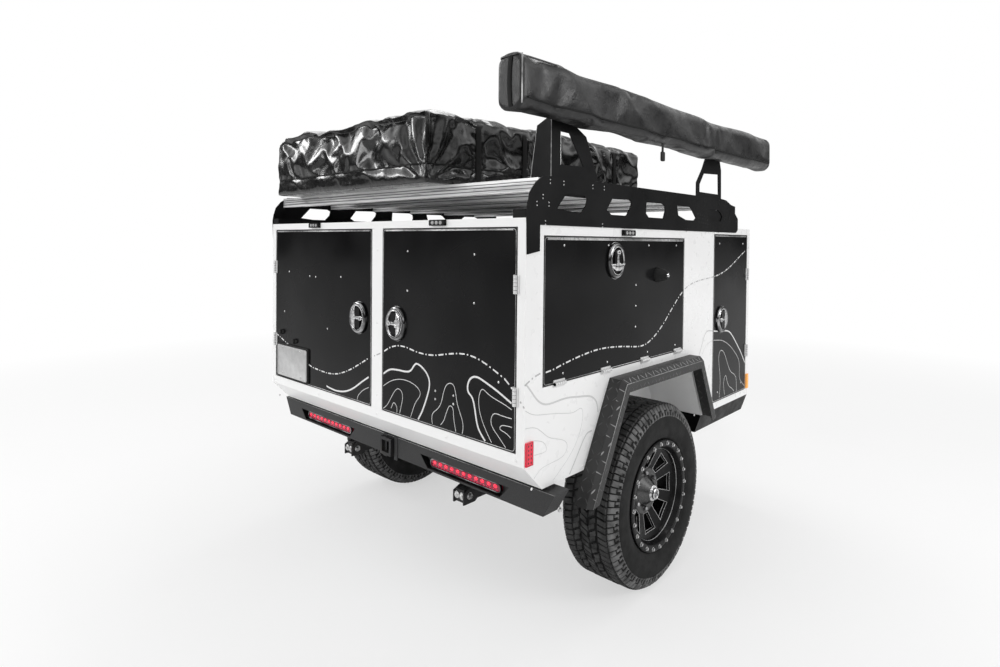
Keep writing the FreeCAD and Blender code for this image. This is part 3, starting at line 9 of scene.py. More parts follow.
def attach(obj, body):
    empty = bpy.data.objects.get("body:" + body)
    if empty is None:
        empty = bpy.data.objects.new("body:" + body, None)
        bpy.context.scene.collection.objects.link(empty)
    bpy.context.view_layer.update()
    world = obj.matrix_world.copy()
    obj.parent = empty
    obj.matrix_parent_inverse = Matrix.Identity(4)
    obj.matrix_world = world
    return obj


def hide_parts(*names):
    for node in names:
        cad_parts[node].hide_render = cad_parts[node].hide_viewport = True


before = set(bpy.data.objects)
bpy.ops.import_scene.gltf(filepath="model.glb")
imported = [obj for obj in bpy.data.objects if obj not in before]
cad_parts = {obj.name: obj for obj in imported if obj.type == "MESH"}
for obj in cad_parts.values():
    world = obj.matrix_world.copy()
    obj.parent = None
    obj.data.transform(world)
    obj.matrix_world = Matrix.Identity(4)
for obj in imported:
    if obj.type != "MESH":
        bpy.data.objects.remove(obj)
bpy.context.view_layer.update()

# The studio: the trailer stands on a pale floor that runs out into a white background, with a soft
# lamp overhead, one on its right, one behind and a strip behind its left corner. What is polished
# sees low dark walls and a bright patchy ceiling. The camera is off the right rear corner.
FRAME_X, FRAME_Y = 1527.5, -15.5


def at(x, y, z):
    """A place in millimetres from the cabin's rear face, its middle plane and the ground."""
    return Vector(((x - FRAME_X) / 1000, (y - FRAME_Y) / 1000, z / 1000))


view = bpy.context.scene.view_settings
view.view_transform = "Standard"

EYE_SPOT = (-3.0115, -2.1005, 1.442)
EYE_TURNS = (43.293, -0.962, 0.514)
eye = bpy.data.cameras.new("eye_height_camera")
eye.lens = 21.757
eye.sensor_width = 36
eye.shift_x = 0.0051
eye.shift_y = -0.0822
eye.clip_start = 0.05
eye_stand = bpy.data.objects.new("eye_height_camera", eye)
bpy.context.scene.collection.objects.link(eye_stand)
yaw, pitch, roll = (math.radians(turn) for turn in EYE_TURNS)
sight = Vector((math.cos(pitch) * math.cos(yaw), math.cos(pitch) * math.sin(yaw), math.sin(pitch)))
level = Vector((math.sin(yaw), -math.cos(yaw), 0))
above = level.cross(sight)
sideways = math.cos(roll) * level + math.sin(roll) * above
head = math.cos(roll) * above - math.sin(roll) * level
eye_axes = Matrix((sideways, head, -sight)).transposed().to_4x4()
eye_stand.matrix_world = Matrix.Translation(EYE_SPOT) @ eye_axes
bpy.context.scene.camera = eye_stand


def rgba(colour):
    """A full colour from a shade of grey, or from red, green and blue."""
    return (colour, colour, colour, 1.0) if isinstance(colour, float) else (*colour, 1.0)


class Nodes:
    """The nodes of the studio's world or of one finish, added and joined in short steps."""

    def __init__(self, tree, place):
        self.tree = tree
        self.place = self.add("TexCoord").outputs[place]

    def add(self, kind, inputs=None, **settings):
        node = self.tree.nodes.new("ShaderNode" + kind)
        for setting, value in settings.items():
            setattr(node, setting, value)
        for socket, value in (inputs or {}).items():
            self.feed(node.inputs[socket], value)
        return node

    def feed(self, socket, value):
        if isinstance(value, bpy.types.NodeSocket):
            self.tree.links.new(value, socket)
        else:
            socket.default_value = value

    def sum(self, operation, first, second=0.0):
        """One step of arithmetic."""
        return self.add("Math", {0: first, 1: second}, operation=operation).outputs[0]

    def size(self, value):
        """A value without its sign."""
        return self.sum("ABSOLUTE", value)

    def cloud(self, scale, detail=2.0, rough=0.5, stretch=None):
        """Cloudy noise over the piece, drawn out along an axis where there is a stretch."""
        place = self.place
        if stretch:
            place = self.add("Mapping", {"Vector": place, "Scale": stretch}).outputs[0]
        inputs = {"Vector": place, "Scale": scale, "Detail": detail, "Roughness": rough}
        return self.add("TexNoise", inputs).outputs["Fac"]

    def between(self, value, low, high, start=0.0, end=1.0, **settings):
        """A value brought from one range into another."""
        inputs = {"Value": value, "From Min": start, "From Max": end, "To Min": low, "To Max": high}
        return self.add("MapRange", inputs, **settings).outputs[0]

    def patches(self, scale, detail, start, end, rough=0.5, stretch=None):
        """Noise with its middle drawn apart into dark and pale patches."""
        return self.between(self.cloud(scale, detail, rough, stretch), 0, 1, start, end)

    def tint(self, share, first, second):
        """A colour that runs from the first to the second with a share."""
        mix = self.add("Mix", {0: share}, data_type="RGBA")
        for socket, colour in ((6, first), (7, second)):
            linked = isinstance(colour, bpy.types.NodeSocket)
            self.feed(mix.inputs[socket], colour if linked else rgba(colour))
        return mix.outputs[2]


FILL_LIGHT, WHITE = 0.62, 1.0
WALL_GLOW, CEILING_GLOW = -1.45, 2.4
WALL_TOP, CEILING_EDGE = 0.08, 0.46
world = bpy.data.worlds.new("white_studio")
bpy.context.scene.world = world
world.use_nodes = True
studio = Nodes(world.node_tree, "Generated")
rays = studio.add("LightPath").outputs
seen = studio.sum("MAXIMUM", rays["Is Camera Ray"], rays["Is Transmission Ray"])
screens = studio.between(studio.cloud(1.9, 1.0), 0.25, 1.0, 0.42, 0.6, interpolation_type="SMOOTHSTEP")
height = studio.add("SeparateXYZ", {0: studio.place}).outputs[2]
lift = studio.between(height, 0, 1, WALL_TOP, CEILING_EDGE, interpolation_type="SMOOTHSTEP")
ceiling = studio.between(studio.sum("MULTIPLY", lift, screens), WALL_GLOW, CEILING_GLOW)
glossy = studio.sum("MULTIPLY", rays["Is Glossy Ray"], ceiling)
strength = studio.between(studio.sum("ADD", seen, glossy), FILL_LIGHT, WHITE, clamp=False)
backdrop = world.node_tree.nodes["Background"]
studio.feed(backdrop.inputs["Color"], rgba(1.0))
studio.feed(backdrop.inputs["Strength"], strength)

# name, where it hangs, what it is aimed at, its width and depth in metres, its power
LAMPS = (
    ("overhead_softbox", (0.2, 0.0, 4.6), (0, 0, 1), 3.2, 1.2, 56),
    ("right_softbox", (0.6, -5.2, 2.8), (0, -0.6, 1.0), 2.6, 1.0, 78),
    ("rear_softbox", (-5.6, 1.2, 2.6), (-1.2, 0, 1.0), 2.4, 1.0, 58),
    ("left_rear_strip", (-3.7, 4.4, 3.7), (-1.5, 0, 1.7), 2.6, 0.6, 50),
)
for name, spot, target, width, depth, power in LAMPS:
    lamp = bpy.data.lights.new(name, "AREA")
    lamp.shape = "RECTANGLE"
    lamp.size = width
    lamp.size_y = depth
    lamp.energy = power
    stand = bpy.data.objects.new(name, lamp)
    bpy.context.scene.collection.objects.link(stand)
    stand.location = spot
    stand.rotation_euler = (Vector(target) - Vector(spot)).to_track_quat("-Z", "Y").to_euler()


class Finish(Nodes):
    """One finish of the trailer, mixed from nodes that read the piece's own coordinates."""

    def __init__(self, name, colour, roughness, metallic=0.0, **sockets):
        self.material = bpy.data.materials.new(name)
        self.material.use_nodes = True
        super().__init__(self.material.node_tree, "Object")
        self.shader = self.tree.nodes["Principled BSDF"]
        self.use("Base Color", rgba(colour))
        self.use("Roughness", roughness)
        self.use("Metallic", metallic)
        for socket, value in sockets.items():
            self.use(socket.replace("_", " "), value)

    def use(self, socket, value):
        self.feed(self.shader.inputs[socket], value)

    def tone(self, share, first, second):
        """Let the colour drift between two tones."""
        self.use("Base Color", self.tint(share, first, second))

    def polish(self, scale, detail, low, high, start=0.3):
        """Let the roughness drift between two values."""
        self.use("Roughness", self.between(self.cloud(scale, detail), low, high, start, 0.7))

    def relief(self, height, depth, strength=1.0):
        """Add fine relief on top of what the finish has already."""
        bump = self.add("Bump", {"Height": height, "Distance": depth, "Strength": strength})
        last = self.shader.inputs["Normal"]
        if last.is_linked:
            self.tree.links.new(last.links[0].from_socket, bump.inputs["Normal"])
        self.tree.links.new(bump.outputs[0], last)

    def grain(self, scale, detail, depth, strength, rough=0.5, stretch=None):
        """Relief from cloudy noise."""
        self.relief(self.cloud(scale, detail, rough, stretch), depth, strength)


FLOOR_RADIUS = 40
FLOOR_FADE = (2.2, 7.0)
floor_form = bmesh.new()
bmesh.ops.create_circle(floor_form, cap_ends=True, segments=96, radius=FLOOR_RADIUS)
floor_mesh = bpy.data.meshes.new("studio_floor")
floor_form.to_mesh(floor_mesh)
floor_form.free()
floor = bpy.data.objects.new("studio_floor", floor_mesh)
bpy.context.scene.collection.objects.link(floor)
pale_floor = Finish("pale floor", 0.9, 0.9, Specular_IOR_Level=0.0)
pale_floor.tone(pale_floor.cloud(0.8, 3), 0.89, 0.93)
white_out = pale_floor.add("Emission", {"Color": rgba(1.0), "Strength": 1.0})
paths = pale_floor.add("LightPath").outputs
away = pale_floor.add("VectorMath", {0: pale_floor.place}, operation="LENGTH").outputs["Value"]
faded = pale_floor.between(away, 0.55, 1.0, *FLOOR_FADE)
mirrored = pale_floor.sum("MULTIPLY", paths["Is Glossy Ray"], 0.3)
camera_share = pale_floor.sum("MULTIPLY", faded, pale_floor.sum("MAXIMUM", paths["Is Camera Ray"], mirrored))
floor_shaders = {0: camera_share, 1: pale_floor.shader.outputs[0], 2: white_out.outputs[0]}
floor_mix = pale_floor.add("MixShader", floor_shaders)
pale_floor.feed(pale_floor.tree.nodes["Material Output"].inputs["Surface"], floor_mix.outputs[0])
floor_mesh.materials.append(pale_floor.material)

# The chassis: mild steel box section, welded into a ladder with an A-shaped drawbar, sprayed satin
# black all over. The square axle tube and the hangers have the same paint; the leaf springs are
# bare oily spring steel.
WAYS = {"right": -1, "left": 1}
HALF_WIDTH, CABIN_LENGTH = 855, 1895


def coat(finish, *nodes):
    """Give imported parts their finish."""
    for node in nodes:
        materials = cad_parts[node].data.materials
        if len(materials) == 0:
            materials.append(finish.material)
        for slot in range(len(materials)):
            materials[slot] = finish.material


chassis_paint = Finish("black chassis paint", (0.018, 0.018, 0.019), 0.42, Specular_IOR_Level=0.35)
worn_paint = chassis_paint.patches(9, 5, 0.45, 0.8, 0.6)
chassis_paint.tone(worn_paint, (0.014, 0.014, 0.015), (0.04, 0.037, 0.034))
chassis_paint.polish(30, 3, 0.32, 0.6)
chassis_paint.grain(220, 3, 0.0006, 0.5)
spring_steel = Finish("oily spring steel", (0.05, 0.05, 0.052), 0.4, 0.6)
spring_steel.tone(spring_steel.cloud(18, 4), (0.03, 0.03, 0.031), (0.09, 0.08, 0.07))
spring_steel.grain(90, 4, 0.0008, 0.6, stretch=(0.2, 1, 1))
coat(chassis_paint, "chassis_frame", "axle_beam", "receiver_tube", "stabiliser_left", "stabiliser_right")
coat(spring_steel, "leaf_spring_left", "leaf_spring_right")

FACES = {
    "right": Matrix(((1, 0, 0), (0, 0, -1), (0, 1, 0))).to_4x4(),
    "left": Matrix(((-1, 0, 0), (0, 0, 1), (0, 1, 0))).to_4x4(),
    "rear": Matrix(((0, 0, -1), (-1, 0, 0), (0, 1, 0))).to_4x4(),
    "front": Matrix(((0, 0, 1), (1, 0, 0), (0, 1, 0))).to_4x4(),
    "under": Matrix(((1, 0, 0), (0, -1, 0), (0, 0, -1))).to_4x4(),
}


def turned_by(degrees):
    """A turn about the upright axis in degrees."""
    return Matrix.Rotation(math.radians(degrees), 4, "Z")


def moved_by(x, y, z):
    """A move in millimetres."""
    return Matrix.Translation((x / 1000, y / 1000, z / 1000))


def scaled_by(x, y, z):
    """A change of size along each axis."""
    return Matrix.Diagonal((x, y, z, 1))


def on(face, x, y, z, turn=0.0):
    """A place on a face of the trailer, with its own Z pointing out of that face."""
    return Matrix.Translation(at(x, y, z)) @ FACES[face] @ turned_by(turn)


def on_cabin(face, along, up, turn=0.0, out=0.0):
    """A place on the cabin's rear, right or left face, or so far out from it."""
    if face == "rear":
        return on("rear", -out, along, up, turn)
    return on(face, along, WAYS[face] * (HALF_WIDTH + out), up, turn)


def keep(form):
    """Keep a finished shape so that it can be set in many places."""
    bmesh.ops.remove_doubles(form, verts=form.verts, dist=1e-6)
    bmesh.ops.recalc_face_normals(form, faces=form.faces)
    shape = bpy.data.meshes.new("shape")
    form.to_mesh(shape)
    form.free()
    return shape


def turned(outline, steps=24):
    """A shape turned about its own Z axis from (radius, height) pairs in millimetres."""
    form = bmesh.new()
    ring = [form.verts.new((radius / 1000, 0, height / 1000)) for radius, height in outline]
    edges = [form.edges.new(pair) for pair in zip(ring, ring[1:])]
    bmesh.ops.spin(form, geom=ring + edges, cent=(0, 0, 0), axis=(0, 0, 1), angle=math.tau, steps=steps,
                   use_merge=True)
    return keep(form)


def rounded(form, edges, reach, segments):
    """Round the given edges of a shape, with the reach in millimetres."""
    bmesh.ops.bevel(form, geom=edges, offset=reach / 1000, offset_type="OFFSET", segments=segments,
                    profile=0.5, affect="EDGES", material=-1)


def raised(form, faces, height):
    """Draw faces up by a height in millimetres into a solid."""
    drawn = bmesh.ops.extrude_face_region(form, geom=faces)
    tops = [part for part in drawn["geom"] if isinstance(part, bmesh.types.BMVert)]
    bmesh.ops.translate(form, vec=(0, 0, height / 1000), verts=tops)


def plate(width, height, thick, corner=0.0, edge=0.0, steps=4):
    """A plate in millimetres that stands on its own XY plane, with round corners and eased edges."""
    form = bmesh.new()
    box = moved_by(0, 0, thick / 2) @ scaled_by(width / 1000, height / 1000, thick / 1000)
    bmesh.ops.create_cube(form, size=1, matrix=box)
    if corner:
        tall = thick / 1500
        upright = [line for line in form.edges if abs((line.verts[0].co - line.verts[1].co).z) > tall]
        rounded(form, upright, corner, steps)
    if edge:
        form.normal_update()
        top = [line for line in form.edges if all(end.co.z > thick / 1001 for end in line.verts)]
        rounded(form, [line for line in top if line.calc_face_angle(0) > 1], edge, 2)
    return keep(form)


def linked(name, mesh):
    """An object made from a mesh and put in the scene."""
    piece = bpy.data.objects.new(name, mesh)
    bpy.context.scene.collection.objects.link(piece)
    return piece


def assemble(name, parts, finish, body, sharp=35):
    """Join shapes, each set in its place, into one piece of the trailer that moves with a body."""
    form = bmesh.new()
    for shape, place in parts:
        copy = shape.copy()
        copy.transform(place)
        form.from_mesh(copy)
        bpy.data.meshes.remove(copy)
    mesh = bpy.data.meshes.new(name)
    form.to_mesh(mesh)
    form.free()
    mesh.shade_smooth()
    mesh.set_sharp_from_angle(angle=math.radians(sharp))
    mesh.materials.append(finish.material)
    piece = linked(name, mesh)
    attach(piece, body)
    return piece


zinc = Finish("bright zinc", 0.62, 0.28, 1.0)
zinc.polish(160, 3, 0.18, 0.42)
zinc.tone(zinc.cloud(60, 3), (0.5, 0.5, 0.51), (0.72, 0.72, 0.71))


def hex_head(across_flats, height):
    """A bolt head: a hexagon with a washer under it and eased corners."""
    form = bmesh.new()
    washer, foot, crown = (across_flats * share / 1000 for share in (0.75, 0.577, 0.54))
    bmesh.ops.create_cone(form, cap_ends=True, segments=20, radius1=washer, radius2=washer, depth=0.0016,
                          matrix=moved_by(0, 0, 0.8))
    bmesh.ops.create_cone(form, cap_ends=True, segments=6, radius1=foot, radius2=crown, depth=height / 1000,
                          matrix=moved_by(0, 0, height / 2 + 1.4))
    return keep(form)


def dome_head(radius, height):
    """A small round screw head with a shallow socket."""
    shares = ((0, 0.55), (0.34, 0.55), (0.4, 0.95), (0.7, 0.8), (0.95, 0.35), (1, 0))
    return turned([(radius * out, height * up) for out, up in shares], 12)


HANGER_X, HANGER_Y, HANGER_Z = (471.5, 1191.5), 479, 461.7
AXLE_PLATE_X, AXLE_PLATE_Y, AXLE_PLATE_Z = (791.5, 871.5), (421.5, 478.5), 342.7
LEG_X, LEG_Y, LEG_Z, LEG_CHEEK = 183, 388.5, 433, 31.5
STUD_X, STUD_Y = 158.5, 14.5
bolt_16 = hex_head(19, 9)
bolt_10 = hex_head(13, 7)
stud_end = turned([(0, 9), (6.5, 9), (8, 8), (8, 5), (12.5, 4.4), (14.5, 2.5), (14.5, -6)], 20)
chassis_bolts = []
for side, way in WAYS.items():
    other_side = "left" if side == "right" else "right"
    for x in HANGER_X:
        chassis_bolts.append((bolt_16, on(side, x, way * HANGER_Y, HANGER_Z)))
    for x in AXLE_PLATE_X:
        for y in AXLE_PLATE_Y:
            chassis_bolts.append((bolt_10, on("under", x, way * y, AXLE_PLATE_Z)))
    for face, out in ((side, LEG_CHEEK), (other_side, -LEG_CHEEK)):
        chassis_bolts.append((bolt_16, on(face, LEG_X, way * (LEG_Y + out), LEG_Z)))
assemble("chassis_bolts", chassis_bolts, zinc, "trailer")
for side, way in WAYS.items():
    studs = [(stud_end, on("rear", STUD_X, way * LEG_Y + shift, LEG_Z)) for shift in (-STUD_Y, STUD_Y)]
    assemble("stabiliser_studs_" + side, studs, zinc, "stabiliser_" + side)

# The cabin: 30 mm thick folded steel panels sprayed gloss white, folded at the corners and screwed
# to the frame along the foot and the uprights.
FOOT_SCREW_Z, UPRIGHT_SCREW_Z = 628, (820, 1070, 1320)
FOOT_SCREW_X, UPRIGHT_SCREW_X = (40, 330, 620, 910, 1240, 1560, 1850), (1190, 1380)
SILL_SCREW_Y, SILL_SCREW_Z = (-820, -480, -51, 400, 830), 722
POST_Y, POST_SCREW_Z = -51, (800, 1100, 1400)
FRONT_SCREW_Y, FRONT_SCREW_Z = (-700, 0, 700), (700, 1400)
cabin_white = Finish("gloss white cabin paint", 0.86, 0.3, Coat_Weight=0.25, Coat_Roughness=0.08)
cabin_white.tone(cabin_white.patches(5, 4, 0.35, 0.75), 0.91, (0.88, 0.88, 0.876))
cabin_white.polish(26, 3, 0.24, 0.4)
plain_white = Finish("plain white paint", 0.85, 0.34, Coat_Weight=0.2, Coat_Roughness=0.1)
plain_white.tone(plain_white.cloud(6, 4), 0.91, (0.88, 0.88, 0.876))
for white in (cabin_white, plain_white):
    white.grain(240, 2, 0.0003, 0.25)
coat(cabin_white, "body_side_left", "body_side_right")
coat(plain_white, "rear_frame", "front_wall", "roof_panel", "floor_panel", "wheel_well_left",
     "wheel_well_right")

screw_5 = dome_head(5, 2.4)
body_screws = []
for side in WAYS:
    body_screws += [(screw_5, on_cabin(side, x, FOOT_SCREW_Z)) for x in FOOT_SCREW_X]
    body_screws += [(screw_5, on_cabin(side, x, z)) for x in UPRIGHT_SCREW_X for z in UPRIGHT_SCREW_Z]
body_screws += [(screw_5, on_cabin("rear", y, SILL_SCREW_Z)) for y in SILL_SCREW_Y]
body_screws += [(screw_5, on_cabin("rear", POST_Y, z)) for z in POST_SCREW_Z]
for y in FRONT_SCREW_Y:
    body_screws += [(screw_5, on("front", CABIN_LENGTH, y, z)) for z in FRONT_SCREW_Z]
assemble("body_screws", body_screws, plain_white, "trailer")

# The doors and hatches: flat steel pans powder coated gloss black, standing flush in their openings
# on a rubber gasket, with a painted highlight where the pan is folded: a thin pale strip all round and
# a broader one along the top.
# door, its face, from and to along that face, from and to in height
DOORS = [
    ("rear_door_right", "rear", (-815, -92), (749, 1485)),
    ("rear_door_left", "rear", (-10, 815), (749, 1485)),
]
DOORS += [("galley_hatch_" + side, side, (97, 1110), (958, 1458)) for side in WAYS]
DOORS += [("side_door_" + side, side, (1439, 1858), (649, 1482)) for side in WAYS]
GASKET_LAP, EDGE_GAP = 8, 1
TOP_FOLD, HATCH_TOP_FOLD, FOLD_DROP = 3.5, 7, 3
door_black = Finish("gloss black door", (0.006, 0.006, 0.0065), 0.16, Specular_IOR_Level=0.15)
# The door's base colour drifts in broad soft clouds: painted reflections of a cloudy studio on the gloss
# black.
door_painted_reflection_clouds = door_black.patches(2.1, 2, 0.42, 0.72, stretch=(1, 1, 0.7))
door_black.tone(door_painted_reflection_clouds, (0.003, 0.003, 0.0033), (0.011, 0.011, 0.0114))
door_black.polish(3.1, 2, 0.14, 0.32, 0.35)
hatch_black = Finish("gloss black hatch", (0.006, 0.006, 0.0065), 0.18, Specular_IOR_Level=0.12)
# The hatch's base colour clouds the same way: painted reflections on the gloss black.
hatch_painted_reflection_clouds = hatch_black.patches(2.4, 2, 0.42, 0.72, stretch=(0.8, 1, 1))
hatch_black.tone(hatch_painted_reflection_clouds, (0.004, 0.004, 0.0043), (0.012, 0.012, 0.0124))
hatch_black.polish(3.1, 2, 0.14, 0.3, 0.35)
for gloss in (door_black, hatch_black):
    gloss.grain(2.6, 1, 0.012, 0.16)
for name, *_ in DOORS:
    coat(hatch_black if "hatch" in name else door_black, name)

rubber = Finish("black rubber", 0.012, 0.7, Specular_IOR_Level=0.3)
rubber.tone(rubber.cloud(40, 3), 0.009, 0.022)
rubber.grain(300, 2, 0.0004, 0.4)
pale_edge_and_painted_highlight = Finish("pale edge and painted highlight", (0.55, 0.55, 0.56), 0.3, 0.4)
pale_edge_and_painted_highlight.tone(pale_edge_and_painted_highlight.patches(4, 3, 0.4, 0.62), 0.22, 0.74)
pale_edge_and_painted_highlight.polish(60, 2, 0.2, 0.4)


def border(width, height, band, thick, corner):
    """A thin flat frame in millimetres round a panel, lying on its own XY plane."""
    form = bmesh.new()
    bmesh.ops.create_grid(form, x_segments=1, y_segments=1, size=0.5,
                          matrix=scaled_by(width / 1000, height / 1000, 1))
    bmesh.ops.bevel(form, geom=list(form.verts), offset=corner / 1000, offset_type="OFFSET", segments=3,
                    profile=0.5, affect="VERTICES", material=-1)
    ring = bmesh.ops.inset_region(form, faces=list(form.faces), thickness=band / 1000, use_boundary=True,
                                  use_even_offset=True)
    middle = [face for face in form.faces if face not in ring["faces"]]
    bmesh.ops.delete(form, geom=middle, context="FACES")
    raised(form, list(form.faces), thick)
    return keep(form)


for name, face, (low, high), (foot, lid) in DOORS:
    place = on_cabin(face, (low + high) / 2, (foot + lid) / 2)
    wide, tall = high - low, lid - foot
    gasket = border(wide + GASKET_LAP, tall + GASKET_LAP, 6, 1.2, 14)
    assemble(name + "_gasket", [(gasket, place @ moved_by(0, 0, -1))], rubber, "trailer")
    # The thin strip all round and the broader strip on the top fold are painted highlights along the folded
    # edge.
    fold = HATCH_TOP_FOLD if "hatch" in name else TOP_FOLD
    top_fold = plate(wide - 30, fold, 1.2, 1.5, 0.6, 2)
    edges = [(border(wide - EDGE_GAP, tall - EDGE_GAP, 2.0, 0.7, 12), place),
             (top_fold, place @ moved_by(0, (tall - fold) / 2 - FOLD_DROP, 0))]
    assemble(name + "_edge", edges, pale_edge_and_painted_highlight, name)

# The paddle latches: an oval dish pressed from dark chromed steel, with a bright cast T-lever whose
# crescent paddle stands at one side and whose stem crosses to the key lock at the other.
# door, its face, where the latch sits along it and in height, the lever's turn
LATCHES = [("rear_door_right", "rear", -182, 1110, 0), ("rear_door_left", "rear", 80, 1110, 180)]
LATCHES += [("galley_hatch_" + side, side, 533, 1371, -90) for side in WAYS]
LATCHES += [("side_door_right", "right", 1531, 1057, 0), ("side_door_left", "left", 1531, 1057, 180)]
LOCK_X, KNUCKLE_X, KNUCKLE_Y = -31, 13.5, 9.5
HATCH_DISH = (0.96, 1.02, 1)
chrome = Finish("cast chrome lever", (0.75, 0.75, 0.76), 0.16, 1.0)
chrome.polish(120, 3, 0.08, 0.3)
chrome.tone(chrome.patches(90, 3, 0.35, 0.65), (0.4, 0.4, 0.41), 0.9)
chrome.grain(130, 3, 0.0012, 0.7)
dark_chrome = Finish("dark latch dish", (0.05, 0.05, 0.052), 0.14, 1.0)
dark_chrome.tone(dark_chrome.patches(14, 2, 0.42, 0.62), (0.08, 0.08, 0.081), (0.42, 0.42, 0.425))
dark_chrome.polish(40, 3, 0.08, 0.2)
# This black is the latch bowl's own colour, and also the painted shade of the key slots, the lamp pockets and
# the rack's holes.
black_bowl_and_painted_shade = Finish("black latch bowl and painted shade", 0.004, 0.3, Specular_IOR_Level=0.2)
black_bowl_and_painted_shade.tone(black_bowl_and_painted_shade.cloud(60, 2), 0.003, 0.012)


def oval(outline, steps=44, tall=1.13):
    """A turned shape drawn out into an oval."""
    shape = turned(outline, steps)
    shape.transform(scaled_by(1, tall, 1))
    return shape


DISH_RIM = ((42, 5), (44.5, 9.5), (48, 12.8), (51.5, 13.6), (55, 13), (58.5, 10), (60.5, 5), (61, 1.8),
            (62.5, 1.2), (62.5, 0))
dish_rim = oval(DISH_RIM)
dish_line = oval([(43.8, 11.2), (44.8, 13.4), (46.6, 13.8), (47.6, 12.9)])
dish_bowl = oval([(0, 1.4), (34, 1.6), (40, 3.2), (44, 9.0), (45, 9.4), (45, 0.2), (0, 0.2)])


def crescent(reach, half, thick):
    """A paddle with one straight side and one curved side that meet in two points, domed on top."""
    form = bmesh.new()
    bmesh.ops.create_grid(form, x_segments=5, y_segments=16, size=0.5)
    raised(form, list(form.faces), thick)
    for spot in form.verts:
        along, out = spot.co.y * 2, spot.co.x + 0.5
        width = reach * (1 - abs(along) ** 2.2) ** 0.8 + 1.5
        dome = math.sin(math.pi * min(max(out, 0.04), 0.96)) ** 0.5
        spot.co.x, spot.co.y = out * width / 1000, along * half / 1000
        if spot.co.z > 0:
            spot.co.z = thick / 1000 * (0.55 + 0.45 * dome) * (1 - 0.25 * along ** 2)
    return keep(form)


paddle = crescent(25, 47, 9)
paddle.transform(moved_by(12.5, 0, 9))
stem = plate(52, 13, 8, 5, 3, 3)
stem.transform(moved_by(-8, 0, 8.5))
knuckle = turned([(0, 20.5), (3.4, 20), (5.6, 17.8), (6.2, 14), (6.2, 8)], 16)
key_lock = turned([(0, 17.5), (5.0, 17.5), (6.2, 19.8), (9.2, 20), (10.6, 18), (11, 14), (11, 2)], 20)
key_slot = plate(2, 8, 1.2)
for body, face, along, up, turn in LATCHES:
    place = on_cabin(face, along, up)
    lever = place @ turned_by(turn)
    if "hatch" in body:
        place = place @ scaled_by(*HATCH_DISH)
    bowl_parts = [(dish_bowl, place), (key_slot, lever @ moved_by(LOCK_X, 0, 17.2))]
    lever_parts = [(dish_line, place), (paddle, lever), (stem, lever)]
    lever_parts += [(key_lock, lever @ moved_by(LOCK_X, 0, 0))]
    lever_parts += [(knuckle, lever @ moved_by(KNUCKLE_X, shift, 0)) for shift in (-KNUCKLE_Y, KNUCKLE_Y)]
    assemble(body + "_latch_dish", [(dish_rim, place)], dark_chrome, body)
    assemble(body + "_latch_bowl", bowl_parts, black_bowl_and_painted_shade, body)
    assemble(body + "_latch_lever", lever_parts, chrome, body)

# The hinges: narrow zinc plated steel butts with five knuckles, one leaf screwed to the door and one
# to the cabin. The galley hatches fold down on four each, and the upright doors have two each.
HATCH_HINGE_X, HATCH_HINGE_PITCH, HATCH_HINGE_Z = 181, 291, 955.5
SIDE_HINGE_X, SIDE_HINGE_Z = 1860.5, (857.25, 1273.75)
REAR_HINGE_Y, REAR_HINGE_Z = 817.5, (933, 1301)
KNUCKLES, KNUCKLE_PITCH, PIN_HEIGHT = 5, 12.5, 7
LEAF_OUT, LEAF_THICK, LEAF_SCREW_X, LEAF_SCREW_OUT = 7.8, 3.4, 24, 9


def hinge(part):
    """One half of a butt hinge, its pin along its own X: the door half is above the pin."""
    shapes = []
    for step in range(KNUCKLES):
        if (step % 2 == 0) == (part == "door"):
            barrel = turned([(0, -6), (5.8, -6), (6.6, -5.2), (6.6, 5.2), (5.8, 6), (0, 6)], 14)
            along = (step - KNUCKLES // 2) * KNUCKLE_PITCH
            barrel.transform(moved_by(along, 0, PIN_HEIGHT) @ Matrix.Rotation(math.radians(90), 4, "Y"))
            shapes.append(barrel)
    way = 1 if part == "door" else -1
    leaf = plate(63, 10.5, LEAF_THICK, 2, 0.6, 2)
    leaf.transform(moved_by(0, way * LEAF_OUT, 0))
    shapes.append(leaf)
    for x in (-LEAF_SCREW_X, LEAF_SCREW_X):
        screw = dome_head(3, 1.4)
        screw.transform(moved_by(x, way * LEAF_SCREW_OUT, LEAF_THICK))
        shapes.append(screw)
    return shapes


hinge_steel = Finish("pale plated hinge", 0.78, 0.38, 0.25)
hinge_steel.tone(hinge_steel.cloud(70, 3), 0.66, 0.86)
hinge_steel.grain(300, 2, 0.0003, 0.3)
door_half, cabin_half = hinge("door"), hinge("cabin")
hinge_places = {}
for side, way in WAYS.items():
    hatch_hinges = [HATCH_HINGE_X + step * HATCH_HINGE_PITCH for step in range(4)]
    hinge_places["galley_hatch_" + side] = [on_cabin(side, x, HATCH_HINGE_Z) for x in hatch_hinges]
    hinge_places["side_door_" + side] = [on_cabin(side, SIDE_HINGE_X, z, -90 * way) for z in SIDE_HINGE_Z]
    hinge_places["rear_door_" + side] = [on_cabin("rear", way * REAR_HINGE_Y, z, -90 * way)
                                         for z in REAR_HINGE_Z]
for body, places in sorted(hinge_places.items()):
    leaves = [(shape, place) for place in places for shape in door_half]
    seats = [(shape, place) for place in places for shape in cabin_half]
    assemble(body + "_hinge_leaves", leaves, hinge_steel, body)
    assemble(body + "_hinge_seats", seats, hinge_steel, "trailer")

